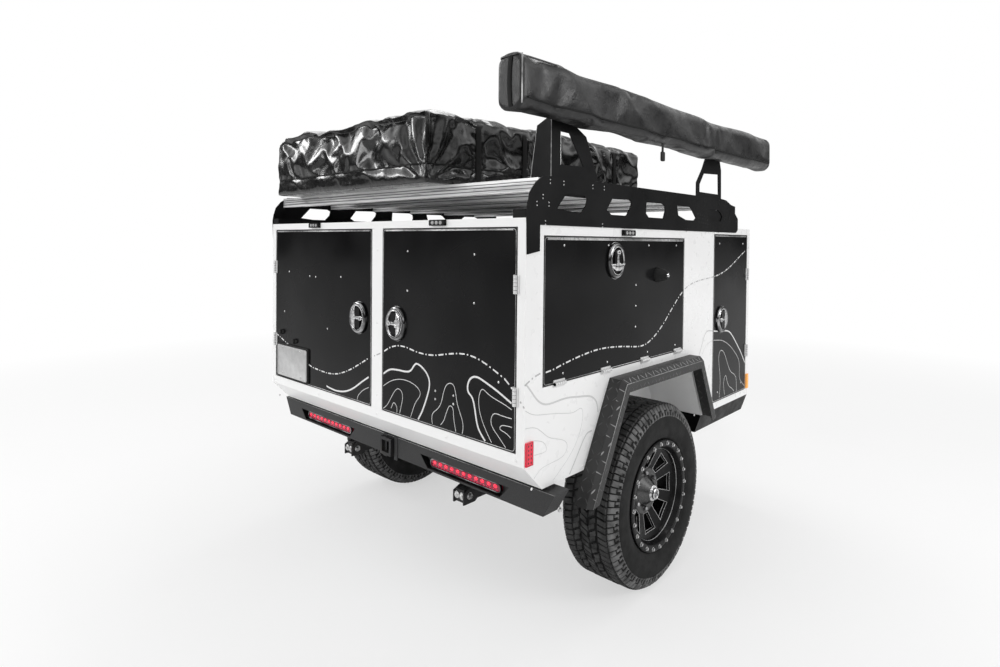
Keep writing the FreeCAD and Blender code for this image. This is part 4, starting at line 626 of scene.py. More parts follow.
# Screws and fittings on the doors: small pan-head screws that hold the inner frames, the conical
# rubber stop of each hatch, and the bare number plate with its lamps on the left rear door.
HATCH_SCREWS = [(x, z) for z in (1430, 985) for x in (205, 485, 790, 1035)]
HATCH_SCREWS += [(690, z) for z in (1270, 1185, 1100)]
SIDE_DOOR_SCREWS = [(x, z) for z in (1440, 690) for x in (1500, 1800)]
DOOR_SCREWS = [
    ("rear_door_right", "rear", [(-250, 1400), (-620, 1395), (-250, 1245), (-620, 1225), (-419, 882),
                                 (-419, 851), (-518, 882), (-518, 851), (-740, 968)]),
    ("rear_door_left", "rear", [(685, 1282), (487, 1268), (434, 1267), (220, 1277), (730, 1080),
                                (330, 1035)]),
]
DOOR_SCREWS += [("galley_hatch_" + side, side, HATCH_SCREWS) for side in WAYS]
DOOR_SCREWS += [("side_door_" + side, side, SIDE_DOOR_SCREWS) for side in WAYS]
screw_4 = dome_head(4.5, 2.2)
for body, face, spots in DOOR_SCREWS:
    screws = [(screw_4, on_cabin(face, along, up)) for along, up in spots]
    assemble(body + "_screws", screws, zinc, body)

STOP_X, STOP_Z, STOP_HEIGHT = 870, 1305, 48.4
STOP_CONE = ((0, 48.6), (15, 48.6), (17.5, 47.4), (19, 44), (22, 36), (24, 33.5), (29.5, 12), (31.5, 9),
             (32, 3), (33, 0.4), (33, 0))
stop_cone = turned(STOP_CONE, 32)
stop_screw = dome_head(9, 3)
for side in WAYS:
    hatch = "galley_hatch_" + side
    cone = (stop_cone, on_cabin(side, STOP_X, STOP_Z))
    cone_screw = (stop_screw, on_cabin(side, STOP_X, STOP_Z, out=STOP_HEIGHT))
    assemble("hatch_stop_" + side, [cone], rubber, hatch)
    assemble("hatch_stop_screw_" + side, [cone_screw], chrome, hatch)

PLATE_Y, PLATE_Z, CARRIER_THICK, PLATE_THICK = 640, 836, 9, 2
PLATE_SCREWS = [(x, y) for x in (-88, 88) for y in (-62, 62)]
PLATE_LAMPS = ((755, 976), (626, 942))
plate_metal = Finish("bare number plate", 0.6, 0.35, 0.7)
plate_metal.tone(plate_metal.cloud(35, 4), 0.5, 0.74)
plate_metal.polish(90, 3, 0.28, 0.5)
number_place = on_cabin("rear", PLATE_Y, PLATE_Z)
plate_face = CARRIER_THICK + PLATE_THICK
carrier_parts = [(plate(300, 168, CARRIER_THICK, 10, 3), number_place)]
number_parts = [(plate(284, 152, PLATE_THICK, 9, 0.8), number_place @ moved_by(0, 0, CARRIER_THICK)),
                (border(276, 144, 3, 1.2, 8), number_place @ moved_by(0, 0, plate_face - 0.2))]
plate_screws = [(screw_4, number_place @ moved_by(x, y, plate_face)) for x, y in PLATE_SCREWS]
assemble("plate_carrier", carrier_parts, rubber, "rear_door_left")
assemble("number_plate", number_parts, plate_metal, "rear_door_left")
assemble("plate_screws", plate_screws, zinc, "rear_door_left")
lamp_cup = turned([(0, 16), (9, 16), (12, 14), (13, 0)], 16)
lamp_arm = plate(46, 12, 6, 4, 1.5)
plate_lamps = [(shape, on_cabin("rear", y, z)) for y, z in PLATE_LAMPS for shape in (lamp_cup, lamp_arm)]
assemble("plate_lamps", plate_lamps, rubber, "rear_door_left")

# The dash-dot route line: pale vinyl strips laid in a winding line round the cabin, grey on the white
# sheets. Each strip moves with the panel it is stuck to, and none lies over a gap.
REAR_ROUTE = ((815, 960), (740, 935), (640, 900), (481, 840), (423, 836), (364, 832), (306, 832), (252, 839),
              (198, 854), (142, 876), (88, 902), (35, 930), (9, 944), (-97, 984), (-138, 1010), (-191, 1024),
              (-247, 1024), (-302, 1013), (-361, 1010), (-417, 1014), (-476, 1027), (-534, 1038),
              (-589, 1042), (-647, 1033), (-702, 1013), (-752, 991), (-781, 979), (-855, 902))
SIDE_ROUTE = ((0, 975), (60, 1006), (120, 1000), (215, 1019), (330, 1035), (420, 1042), (502, 1040),
              (610, 1030), (728, 1013), (800, 1022), (900, 1070), (1000, 1150), (1105, 1227), (1200, 1256),
              (1320, 1268), (1426, 1274), (1540, 1290), (1650, 1325), (1760, 1372), (1846, 1406),
              (1890, 1420))
ROUTE_WIDTH, STRIP_THICK = 5.5, 0.5
DOOR_GAP, DOOR_EDGE = 4, 6
DASH_GAP_DOT_GAP = (28, 11, 7, 11)
SHORTEST_STRIP = 0.003
route_white = Finish("pale vinyl strip", 0.78, 0.4)
route_white.tone(route_white.cloud(50, 2), 0.7, 0.84)
route_grey = Finish("grey vinyl strip", 0.45, 0.4)
route_grey.tone(route_grey.cloud(50, 2), 0.4, 0.52)


def smooth_line(points, width=0.0, steps=10):
    """A smooth line through points in millimetres, a flat strip where it has a width."""
    line = bpy.data.curves.new("line", "CURVE")
    line.dimensions = "3D"
    line.fill_mode = "FULL"
    line.bevel_depth = width / 2000
    line.bevel_resolution = 0
    line.use_fill_caps = width > 0
    spline = line.splines.new("NURBS")
    spline.points.add(len(points) - 1)
    for knot, (along, up) in zip(spline.points, points):
        knot.co = (along / 1000, up / 1000, 0, 1)
    spline.order_u = 3
    spline.use_endpoint_u = True
    spline.resolution_u = steps
    carrier = bpy.data.objects.new("line", line)
    shape = bpy.data.meshes.new_from_object(carrier)
    shape.transform(scaled_by(1, 1, 1.2 / max(width, 1.2)))
    bpy.data.objects.remove(carrier)
    bpy.data.curves.remove(line)
    return shape


def route(points):
    """Walk along a smooth line through points: the middle, turn and length of each dash and dot."""
    walk = [vertex.co.copy() for vertex in smooth_line(points, 0.0, 24).vertices]
    lengths = [0.0]
    for first, second in zip(walk, walk[1:]):
        lengths.append(lengths[-1] + (second - first).length)

    def spot(distance):
        for step in range(len(walk) - 1):
            if lengths[step + 1] >= distance:
                share = (distance - lengths[step]) / max(lengths[step + 1] - lengths[step], 1e-9)
                return walk[step].lerp(walk[step + 1], share)
        return walk[-1]

    strips, reached, index = [], 0.0, 0
    while reached < lengths[-1]:
        length = DASH_GAP_DOT_GAP[index % 4] / 1000
        if index % 2 == 0:
            first, second = spot(reached), spot(min(reached + length, lengths[-1]))
            run = second - first
            if run.length > SHORTEST_STRIP:
                turn = math.degrees(math.atan2(run.y, run.x))
                strips.append(((first + second) / 2, turn, run.length * 1000))
        reached += length
        index += 1
    return strips


def lay_route(points, face):
    """Lay the strips of one face, sorted by the panel that each one sticks to."""
    laid = {}
    for middle, turn, length in route(points):
        along, up = middle.x * 1000, middle.y * 1000
        body = "trailer"
        for name, door_face, (low, high), (foot, lid) in DOORS:
            if door_face == face and low - DOOR_GAP < along < high + DOOR_GAP and foot < up < lid:
                body = name if low + DOOR_EDGE <= along <= high - DOOR_EDGE else None
        if body is not None:
            strip = plate(length, ROUTE_WIDTH, STRIP_THICK, min(ROUTE_WIDTH, length) * 0.3, 0, 2)
            place = on_cabin(face, along, up, turn if face == "right" else 180 - turn)
            laid.setdefault(body, []).append((strip, place))
    for body, strips in laid.items():
        finish, slot = (route_grey, "body_white") if body == "trailer" else (route_white, "door_black")
        assemble("route_strips_%s_%s" % (face, body), strips, finish, body)


lay_route(REAR_ROUTE, "rear")
for side in WAYS:
    lay_route(SIDE_ROUTE, side)

# The map contours: strips cut from pale vinyl, broad for every few and narrow for those between,
# laid along the foot of the rear and front doors. On the white sheets they are pale grey.
contour_grey = Finish("grey contour strip", 0.6, 0.4)
contour_grey.tone(contour_grey.cloud(50, 2), 0.56, 0.64)
# panel, width of the strip, its line as (along, up) in millimetres
REAR_CONTOURS = (
    ("rear_door_right", 7, [(-98, 896), (-133, 921), (-192, 926), (-248, 926), (-276, 935), (-295, 961),
                            (-311, 970), (-346, 958), (-377, 934), (-388, 905), (-380, 870), (-358, 818),
                            (-337, 777), (-320, 755)]),
    ("rear_door_right", 7, [(-680, 755), (-650, 781), (-636, 816), (-629, 855), (-617, 894), (-593, 908),
                            (-590, 930), (-599, 953), (-617, 967), (-643, 970), (-686, 955), (-737, 937),
                            (-799, 908)]),
    ("rear_door_right", 2.5, [(-98, 846), (-134, 870), (-192, 890), (-249, 894), (-304, 884), (-336, 862),
                              (-326, 840), (-304, 818), (-289, 788), (-275, 755)]),
    ("rear_door_right", 2.5, [(-99, 755), (-123, 769), (-146, 803), (-175, 841), (-195, 853), (-218, 846),
                              (-226, 821), (-216, 788), (-206, 755)]),
    ("rear_door_right", 2.5, [(-150, 764), (-161, 786), (-170, 792), (-185, 781), (-189, 768), (-188, 755)]),
    ("rear_door_right", 2.5, [(-404, 755), (-399, 772), (-404, 797), (-434, 817), (-454, 844), (-463, 882),
                              (-478, 914), (-499, 926), (-521, 921), (-530, 894), (-538, 856), (-555, 824),
                              (-569, 795), (-570, 770), (-566, 755)]),
    ("rear_door_right", 2.5, [(-450, 762), (-467, 777), (-479, 809), (-493, 838), (-505, 844), (-518, 836),
                              (-520, 798), (-532, 755)]),
    ("rear_door_right", 2.5, [(-710, 757), (-684, 789), (-658, 833), (-646, 874), (-648, 909), (-663, 936),
                              (-691, 919), (-729, 907), (-770, 898), (-800, 887)]),
    ("rear_door_right", 2.5, [(-775, 755), (-743, 784), (-711, 810), (-705, 833), (-713, 853), (-727, 861),
                              (-762, 857), (-801, 857)]),
    ("rear_door_right", 2.5, [(-797, 792), (-779, 804), (-748, 809), (-748, 820), (-764, 829), (-802, 829)]),
    ("rear_door_left", 7, [(335, 771), (284, 763), (220, 765), (163, 778), (108, 803), (55, 838), (6, 865)]),
    ("rear_door_left", 2.5, [(89, 755), (87, 768), (65, 791), (34, 810), (5, 821)]),
)
SIDE_CONTOURS = (
    ("trailer", 6.5, [(5, 980), (23, 963), (48, 934), (73, 910), (101, 895), (134, 891), (186, 894),
                      (233, 895), (289, 887), (347, 880), (382, 872), (409, 854), (422, 831), (425, 806)]),
    ("trailer", 6.5, [(387, 744), (363, 744), (346, 736), (317, 703), (289, 666), (250, 619)]),
    ("trailer", 2.5, [(5, 893), (28, 878), (66, 866), (123, 859), (195, 847), (258, 834), (286, 837),
                      (314, 844), (327, 833), (328, 803), (312, 755), (284, 716), (245, 680), (198, 650),
                      (157, 625)]),
    ("trailer", 2.5, [(5, 834), (29, 833), (63, 825), (92, 805), (121, 782), (151, 769), (212, 751),
                      (236, 732), (232, 707), (205, 690), (152, 687), (101, 685), (73, 675), (52, 658)]),
    ("trailer", 2.5, [(44, 786), (78, 779), (103, 767), (119, 747), (115, 734), (90, 733), (53, 736)]),
    ("trailer", 6.5, [(1287, 909), (1308, 945), (1340, 998), (1378, 1018), (1434, 1006)]),
    ("trailer", 2.5, [(1318, 905), (1345, 938), (1380, 953), (1434, 959)]),
    ("side_door", 6.5, [(1444, 1005), (1514, 996), (1570, 994), (1621, 989), (1659, 972), (1706, 936),
                        (1754, 894), (1803, 851), (1853, 792)]),
    ("side_door", 2.5, [(1444, 959), (1515, 953), (1565, 943), (1639, 914), (1701, 876), (1764, 828),
                        (1781, 795), (1781, 758), (1781, 717), (1809, 691), (1852, 665)]),
    ("side_door", 2.5, [(1523, 660), (1531, 707), (1533, 760), (1517, 821), (1508, 865), (1521, 893),
                        (1545, 899), (1575, 883), (1605, 844), (1636, 797), (1667, 766), (1713, 749),
                        (1737, 727), (1742, 696), (1744, 655)]),
    ("side_door", 2.5, [(1590, 662), (1574, 709), (1576, 738), (1601, 767), (1616, 734), (1632, 708),
                        (1655, 691), (1693, 675), (1709, 660)]),
)
for face, contours in (("rear", REAR_CONTOURS), ("right", SIDE_CONTOURS), ("left", SIDE_CONTOURS)):
    mirror = 1 if face == "right" else -1
    place = on_cabin(face, 0, 0)
    for panel in sorted({name for name, width, line in contours}):
        strips = [(smooth_line([(mirror * along, up) for along, up in line], width), place)
                  for name, width, line in contours if name == panel]
        finish, slot = (contour_grey, "body_white") if panel == "trailer" else (route_white, "door_black")
        body = "side_door_" + face if panel == "side_door" else panel
        assemble("contour_strips_%s_%s" % (face, panel), strips, finish, body)

# The fender flares: 4 mm steel tread plate folded round each wheel arch and bolted to the cabin, sprayed
# black, with raised bars all over. The bars are worn pale in patches and painted pale as a highlight on
# the bevel that faces up and out, and a pale rod along the fold gives worn paint with a painted highlight.
BAR_PITCH, BAR_LENGTH_SHARE, BAR_WIDTH_SHARE, BAR_RISE = 0.03, 0.55, 0.1, 0.0022
tread_plate = Finish("black tread plate", 0.02, 0.45, Specular_IOR_Level=0.45)
of_tread = tread_plate.sum
axes = tread_plate.add("SeparateXYZ", {0: tread_plate.place}).outputs
facing = tread_plate.add("SeparateXYZ", {0: tread_plate.add("NewGeometry").outputs["Normal"]}).outputs
faces_side = of_tread("GREATER_THAN", tread_plate.size(facing[1]), 0.5)
faces_up = of_tread("GREATER_THAN", tread_plate.size(facing[2]), 0.5)
end_run = tread_plate.add("Mix", {0: faces_up, 2: axes[2], 3: axes[0]}).outputs[0]
bars_along = tread_plate.add("Mix", {0: faces_side, 2: end_run, 3: axes[0]}).outputs[0]
bars_up = tread_plate.add("Mix", {0: faces_side, 2: axes[1], 3: axes[2]}).outputs[0]
cell_u = of_tread("DIVIDE", bars_along, BAR_PITCH)
cell_v = of_tread("DIVIDE", bars_up, BAR_PITCH)
cell_count = of_tread("ADD", of_tread("FLOOR", cell_u), of_tread("FLOOR", cell_v))
odd = of_tread("MODULO", tread_plate.size(cell_count), 2.0)
lean = of_tread("SUBTRACT", of_tread("MULTIPLY", odd, 2.0), 1.0)
in_u = of_tread("SUBTRACT", of_tread("FRACT", cell_u), 0.5)
in_v = of_tread("SUBTRACT", of_tread("FRACT", cell_v), 0.5)
long_way = of_tread("ADD", in_u, of_tread("MULTIPLY", lean, in_v))
short_way = of_tread("SUBTRACT", in_v, of_tread("MULTIPLY", lean, in_u))
long_share = of_tread("POWER", tread_plate.size(of_tread("DIVIDE", long_way, BAR_LENGTH_SHARE)), 2.0)
short_share = of_tread("POWER", tread_plate.size(of_tread("DIVIDE", short_way, BAR_WIDTH_SHARE)), 2.0)
bars = tread_plate.between(of_tread("ADD", long_share, short_share), 1.0, 0.0, 0.35, 1.05)
# The bevel that faces up and out gets pale bars all over: a painted highlight where the light falls. The
# cloudy patches elsewhere are wear.
turns_up = of_tread("GREATER_THAN", facing[2], 0.3)
turns_out = of_tread("GREATER_THAN", tread_plate.size(facing[1]), 0.3)
patchy = tread_plate.between(tread_plate.cloud(9, 3), 0.05, 0.35, 0.42, 0.66)
worn_and_painted_highlight = of_tread("MULTIPLY", bars, of_tread("MAXIMUM", patchy, of_tread("MULTIPLY", turns_up, turns_out)))
tread_plate.tone(worn_and_painted_highlight, tread_plate.tint(tread_plate.cloud(12, 3), 0.018, 0.042), 0.34)
tread_plate.use("Roughness", tread_plate.between(worn_and_painted_highlight, 0.5, 0.3))
tread_plate.relief(bars, BAR_RISE, 0.9)
tread_plate.grain(180, 3, 0.0004, 0.4)
coat(tread_plate, "fender_left", "fender_right")


def merged(node):
    """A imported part's own mesh with its doubles merged."""
    form = bmesh.new()
    form.from_mesh(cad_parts[node].data)
    bmesh.ops.remove_doubles(form, verts=form.verts, dist=1e-6)
    form.normal_update()
    return form


def pale_fold_rods(name, node, body, test, radius=0.7, turn=25):
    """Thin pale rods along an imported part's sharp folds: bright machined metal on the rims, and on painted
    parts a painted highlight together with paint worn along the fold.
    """
    form = merged(node)
    rods = []
    for fold in form.edges:
        if len(fold.link_faces) == 2 and fold.calc_face_angle(0) > math.radians(turn):
            first, second = (end.co.copy() for end in fold.verts)
            middle, run = (first + second) / 2, second - first
            if test(middle, [face.normal for face in fold.link_faces], run):
                rod = bmesh.new()
                bmesh.ops.create_cone(rod, cap_ends=True, segments=5, radius1=radius / 1000,
                                      radius2=radius / 1000, depth=run.length)
                along_fold = run.to_track_quat("Z", "Y").to_matrix().to_4x4()
                rods.append((keep(rod), Matrix.Translation(middle) @ along_fold))
    form.free()
    assemble(name, rods, pale_edge_and_painted_highlight, body)


def outer_fold(middle, normals, run):
    """The fold between a fender's bevel and its outer lip."""
    flat = [abs(normal.y) > 0.98 for normal in normals]
    slanted = [0.3 < abs(normal.y) < 0.95 for normal in normals]
    return any(flat) and any(slanted)


# The pale rod along each fender's outer fold: worn paint with a painted highlight.
for side in ("left", "right"):
    pale_fold_rods("fender_fold_" + side, "fender_" + side, "trailer", outer_fold, 0.9)

# The skirt boxes, the rack, its brackets and the bumper: folded steel, powder coated satin black
# with a fine sandy grain. The bumper is a shade lighter, and bolts hold the plates in pairs.
BUMPER_FACE, BUMPER_END, BUMPER_BOLT_X, BUMPER_BOLT_Z = 102, 903.5, 128, 548
RECEIVER_PLATE_Y, RECEIVER_PLATE_Z = (-52, 21), 552
powder = Finish("satin black powder coat", (0.007, 0.007, 0.0074), 0.42, Specular_IOR_Level=0.1)
powder.tone(powder.patches(4, 3, 0.35, 0.7), (0.004, 0.004, 0.0043), (0.01, 0.01, 0.0104))
powder.polish(20, 3, 0.36, 0.52)
powder.grain(700, 2, 0.0003, 0.6)
bumper_coat = Finish("textured grey black", (0.03, 0.03, 0.031), 0.5, Specular_IOR_Level=0.3)
bumper_coat.tone(bumper_coat.cloud(300, 2), (0.018, 0.018, 0.0185), (0.045, 0.045, 0.046))
bumper_coat.grain(420, 3, 0.0006, 0.8)
coat(powder, "skirt_box_left", "skirt_box_right", "rack_side_left", "rack_side_right", "roof_rails",
     "awning_bracket_rear", "awning_bracket_front")
coat(bumper_coat, "rear_bumper")
receiver_plate = plate(22, 100, 3, 1.5, 0.8, 2)
receiver_plates = [(receiver_plate, on("rear", BUMPER_FACE, y, RECEIVER_PLATE_Z)) for y in RECEIVER_PLATE_Y]
bumper_bolts = [(bolt_10, on(side, BUMPER_BOLT_X, way * BUMPER_END, BUMPER_BOLT_Z))
                for side, way in WAYS.items()]
assemble("receiver_side_plates", receiver_plates, bumper_coat, "trailer")
assemble("bumper_bolts", bumper_bolts, zinc, "trailer")


def upright_fold(middle, normals, run):
    """The upright folds of the awning brackets."""
    return abs(run.normalized().z) > 0.9 and run.length > 0.06


def top_fold_line(middle, normals, run):
    """The long fold along the top of the bumper."""
    return abs(run.normalized().y) > 0.9 and run.length > 0.5 and middle.z > 0.58


# Pale rods on the bracket's upright folds and the bumper's top fold: painted highlights, with the paint worn
# there too.
pale_fold_rods("rear_bracket_fold", "awning_bracket_rear", "trailer", upright_fold, 1.1)
pale_fold_rods("bumper_fold", "rear_bumper", "trailer", top_fold_line, 0.7)

# The lamps: bars of eleven bright red diodes on a dark red lens in the bumper's pockets, with a dim
# row below, red and amber marker lamps on the cabin's corners, and white floodlights in threes.
LAMP_Y, LAMP_Z = (-456, 500), 545.5
LAMP_FRAME_X, LAMP_BODY_X, PAN_X = 123, 129.4, 129.2
DIODES, DIODE_PITCH, DIODE_X, DIODE_RISE, LOW_DIODE_DROP, LOW_DIODE_SHIFT = 11, 33.4, 113.9, 4, 8, 8
HIGH_SHARES, LOW_SHARES = (1, 0.78, 1), (0.6, 0.42, 0.6)
FLOOD_SHARES, MARKER_SHARES = (0.9, 0.75, 0.9), (0.34, 0.42, 0.4)
FLOOD_Y, FLOOD_Z, SIDE_FLOOD_X, SIDE_FLOOD_Z, FLOOD_OUT, FLOOD_PITCH = 433, 1508, 617, 1479, 14, 22
PAN_TOP, PAN_FOOT, PAN_HEIGHT, PAN_WALL, PAN_DEPTH = 0.487, 0.398, 0.047, 0.0012, 26
MARKER_X, MARKER_Z, MARKER_OUT = 22.5, 748, 6.6


def lens(name, colour, roughness, glow, strength, **sockets):
    """A coloured lamp glass that glows a little by itself."""
    return Finish(name, colour, roughness, Emission_Color=rgba(glow), Emission_Strength=strength, **sockets)


lens_red = lens("dark red lamp lens", (0.16, 0.002, 0.02), 0.14, (0.7, 0.0, 0.06), 0.06, Coat_Weight=0.5)
lens_red.tone(lens_red.cloud(90, 3), (0.1, 0.0, 0.014), (0.28, 0.004, 0.035))
marker_red = lens("red marker lens", (0.62, 0.003, 0.03), 0.2, (1, 0.0, 0.04), 0.16, Coat_Weight=0.3)
marker_red.tone(marker_red.cloud(55, 2), (0.56, 0.0, 0.022), (0.74, 0.006, 0.045))
lamp_amber = lens("amber marker lens", (0.9, 0.32, 0.01), 0.18, (1, 0.4, 0.02), 0.2, Coat_Weight=0.5)
lamp_amber.tone(lamp_amber.cloud(55, 2), (0.85, 0.28, 0.0), (0.98, 0.4, 0.02))
diode_red = lens("bright red diode", (0.85, 0.01, 0.04), 0.15, (1, 0.01, 0.05), 0.75, Coat_Weight=0.5)
diode_red.tone(diode_red.cloud(400, 1), (0.7, 0.0, 0.03), (0.95, 0.05, 0.1))
diode_dim = lens("dim red diode", (0.4, 0.004, 0.04), 0.2, (1, 0.0, 0.08), 0.12, Coat_Weight=0.4)
diode_dim.tone(diode_dim.cloud(300, 2), (0.25, 0.0, 0.03), (0.55, 0.01, 0.06))
marker_dark = Finish("dark marker diodes", (0.07, 0.001, 0.008), 0.25)
marker_dark.tone(marker_dark.cloud(200, 2), (0.03, 0.0, 0.004), (0.14, 0.002, 0.016))
lamp_white = Finish("clear floodlight lens", 0.7, 0.15, Coat_Weight=0.5)
lamp_white.tone(lamp_white.cloud(60, 2), 0.16, 0.5)
coat(marker_red, "marker_lamps_red")
coat(lamp_amber, "marker_lamps_amber")
coat(powder, "scene_lights")

# A black tray lines each lamp pocket from the lamp body out to the bumper's face: painted shade in the
# pocket.
pan_edge = bmesh.new()
bmesh.ops.create_grid(pan_edge, x_segments=1, y_segments=1, size=0.5, matrix=scaled_by(1, PAN_HEIGHT, 1))
for corner in pan_edge.verts:
    corner.co.x *= PAN_TOP if corner.co.y > 0 else PAN_FOOT
bmesh.ops.inset_region(pan_edge, faces=list(pan_edge.faces), thickness=PAN_WALL, use_boundary=True,
                       use_even_offset=True)
pan_floor = max(pan_edge.faces, key=lambda face: face.calc_area())
raised(pan_edge, [face for face in pan_edge.faces if face != pan_floor], PAN_DEPTH)
pan = keep(pan_edge)
diode = turned([(0, 3.4), (4, 3.1), (7, 2.2), (9.4, 0.6), (9.8, 0)], 14)
lamp_body = plate(382, 28, 15.5, 13.5, 2.5, 6)
lamp_frame = border(388, 34, 3, 10, 16)
diodes, dim_row, frames, bodies, pocket_shade_pans = [], [], [], [], []
for y in LAMP_Y:
    frames.append((lamp_frame, on("rear", LAMP_FRAME_X, y, LAMP_Z)))
    bodies.append((lamp_body, on("rear", LAMP_BODY_X, y, LAMP_Z)))
    pocket_shade_pans.append((pan, on("rear", PAN_X, y, LAMP_Z)))
    for step in range(DIODES):
        diode_y = y + (step - DIODES // 2) * DIODE_PITCH
        high_place = on("rear", DIODE_X, diode_y, LAMP_Z + DIODE_RISE)
        diodes.append((diode, high_place @ scaled_by(*HIGH_SHARES)))
        for shift in (-LOW_DIODE_SHIFT, LOW_DIODE_SHIFT):
            low_place = on("rear", DIODE_X, diode_y + shift, LAMP_Z - LOW_DIODE_DROP)
            dim_row.append((diode, low_place @ scaled_by(*LOW_SHARES)))
lamps = assemble("tail_lamp_lenses", bodies, lens_red, "trailer")
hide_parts("tail_lamps")
assemble("tail_lamp_pocket_shade", pocket_shade_pans, black_bowl_and_painted_shade, "trailer")
assemble("tail_lamp_diodes", diodes, diode_red, "trailer")
assemble("tail_lamp_low_diodes", dim_row, diode_dim, "trailer")
assemble("tail_lamp_frames", frames, dark_chrome, "trailer")

flood_places = [on_cabin("rear", way * FLOOD_Y, FLOOD_Z, out=FLOOD_OUT) for way in WAYS.values()]
flood_places += [on_cabin(side, SIDE_FLOOD_X, SIDE_FLOOD_Z, out=FLOOD_OUT) for side in WAYS]
flood_rims = [(border(80, 22, 3, 1.6, 5), place) for place in flood_places]
floods = [(diode, place @ moved_by(step * FLOOD_PITCH, 0, 0) @ scaled_by(*FLOOD_SHARES))
          for place in flood_places for step in (-1, 0, 1)]
assemble("floodlight_lenses", floods, lamp_white, "trailer")
assemble("floodlight_rims", flood_rims, rubber, "trailer")
marker_places = [on_cabin(side, MARKER_X, MARKER_Z, out=MARKER_OUT) for side in WAYS]
marker_seams = [(border(33, 75, 1.2, 0.8, 3), place) for place in marker_places]
marker_diodes = [(diode, place @ moved_by(column, row, 0) @ scaled_by(*MARKER_SHARES))
                 for place in marker_places for column in (-7, 7) for row in range(-28, 29, 14)]
assemble("marker_diodes", marker_diodes, marker_dark, "trailer")
assemble("marker_seams", marker_seams, marker_dark, "trailer")

# The wheels: light alloy rims painted black with a bolted outer ring and a conical hub cover, under
# all-terrain tyres with five rows of staggered blocks and stepped lugs on the shoulders.
WHEEL_X, WHEEL_Y, WHEEL_Z = 831.5, 778, 381.7
PITCHES = 46
HALF_CARCASS = ((372.5, 80), (370, 97), (361, 109), (345, 118), (322, 124.5), (300, 126.5), (275, 125),
                (253, 122.5), (250, 120), (244, 120), (236, 116), (229, 106), (217, 104))
# where the row runs, its blocks' width, their shear and their shift as a share of the pitch
BLOCK_ROWS = ((0, 30, 0.55, 0.0), (37, 28, -0.6, 0.4), (-37, 28, -0.6, 0.75))
RING_OUT, RING_BOLTS, RING_BOLT_RADIUS, RING_BOLT_OUT = 118, 24, 215.5, 121.4
NUTS, NUT_RADIUS, NUT_OUT = 6, 76.2, 47
HUB_OUT, BARREL_OUT = 86.2, 100
WINDOW_FROM, WINDOW_TO, WINDOW_OUT = 90, 172, 45
rim_black = Finish("satin black wheel", (0.005, 0.005, 0.0054), 0.26, Specular_IOR_Level=0.16)
rim_black.tone(rim_black.cloud(14, 3), (0.003, 0.003, 0.0033), (0.008, 0.008, 0.0084))
rim_black.polish(40, 3, 0.2, 0.42)
coat(rim_black, "rim_left", "rim_right")
tyre_rubber = Finish("dusty tyre rubber", 0.02, 0.78, Specular_IOR_Level=0.25)
tyre_rubber.tone(tyre_rubber.patches(16, 5, 0.4, 0.75, 0.65), 0.007, 0.022)
tyre_rubber.grain(120, 4, 0.0007, 0.5)
# The shoulder lugs are a paler copy of the tyre's rubber.
lug_rubber = Finish("paler shoulder lugs", 0.06, 0.65, Specular_IOR_Level=0.3)
lug_rubber.tone(lug_rubber.patches(30, 4, 0.35, 0.65), 0.05, 0.17)
block_rubber = Finish("tread blocks", 0.03, 0.75, Specular_IOR_Level=0.25)
block_rubber.tone(block_rubber.patches(26, 4, 0.35, 0.65), 0.02, 0.055)
for tread_finish in (lug_rubber, block_rubber):
    tread_finish.grain(150, 4, 0.0006, 0.5)
machined = Finish("machined dark hub", 0.1, 0.34, 0.95)
machined.tone(machined.cloud(3, 1), 0.06, 0.16)
machined.polish(120, 2, 0.22, 0.4)

inner_half = [(radius, -z) for radius, z in reversed(HALF_CARCASS)]
carcass = turned([*inner_half, (373, 0), *HALF_CARCASS, inner_half[0]], 96)


def lug(height, length, width, shear, place, edge=1.2):
    """One tread block, its height along X, its length along Y and its width along Z."""
    form = bmesh.new()
    bmesh.ops.create_cube(form, size=1, matrix=scaled_by(height / 1000, length / 1000, width / 1000))
    for spot in form.verts:
        spot.co.y += spot.co.z * shear
        if spot.co.x > 0:
            spot.co.y *= 0.93
            spot.co.z *= 0.94
    crown = [line for line in form.edges if all(end.co.x > 0 for end in line.verts)]
    rounded(form, crown, edge, 1)
    form.transform(place)
    return keep(form)


def rung(radius, pitches, z, tilt=0.0):
    """Where a tread block stands: so many pitches round the wheel, tilted over the shoulder."""
    leaned = Matrix.Rotation(math.radians(tilt), 4, "Y")
    return turned_by(pitches * 360 / PITCHES) @ moved_by(radius, 0, z) @ leaned


pitch_blocks, pitch_lugs = [], []
for z, width, shear, shift in BLOCK_ROWS:
    for half_step, slide in ((-0.225, 2.2), (0.225, -2.2)):
        pitch_blocks.append(lug(10.5, 21.4, width, shear, rung(376.2, shift + half_step, z + slide)))
for way, shifts in ((1, (0.1, 0.6)), (-1, (0.35, 0.85))):
    for shift, length, reach in zip(shifts, (23, 20), (34, 24)):
        shoulder = rung(372.5 - reach * 0.42, shift, way * (103.5 + reach * 0.2), -58 * way)
        upper_wall = rung(339, shift - 0.09, way * 121, -76 * way)
        lower_wall = rung(329.5, shift, way * 123, -76 * way)
        pitch_blocks.append(lug(10.0, length, 38, 0.2 * way, rung(375.2, shift, way * 78)))
        pitch_lugs.append(lug(7.5, length - 1, reach, 0.0, shoulder))
        pitch_lugs.append(lug(4, length - 11, 20, 0.0, upper_wall, 0.8))
        pitch_lugs.append(lug(4, length - 3, 5, 0.0, lower_wall, 0.8))


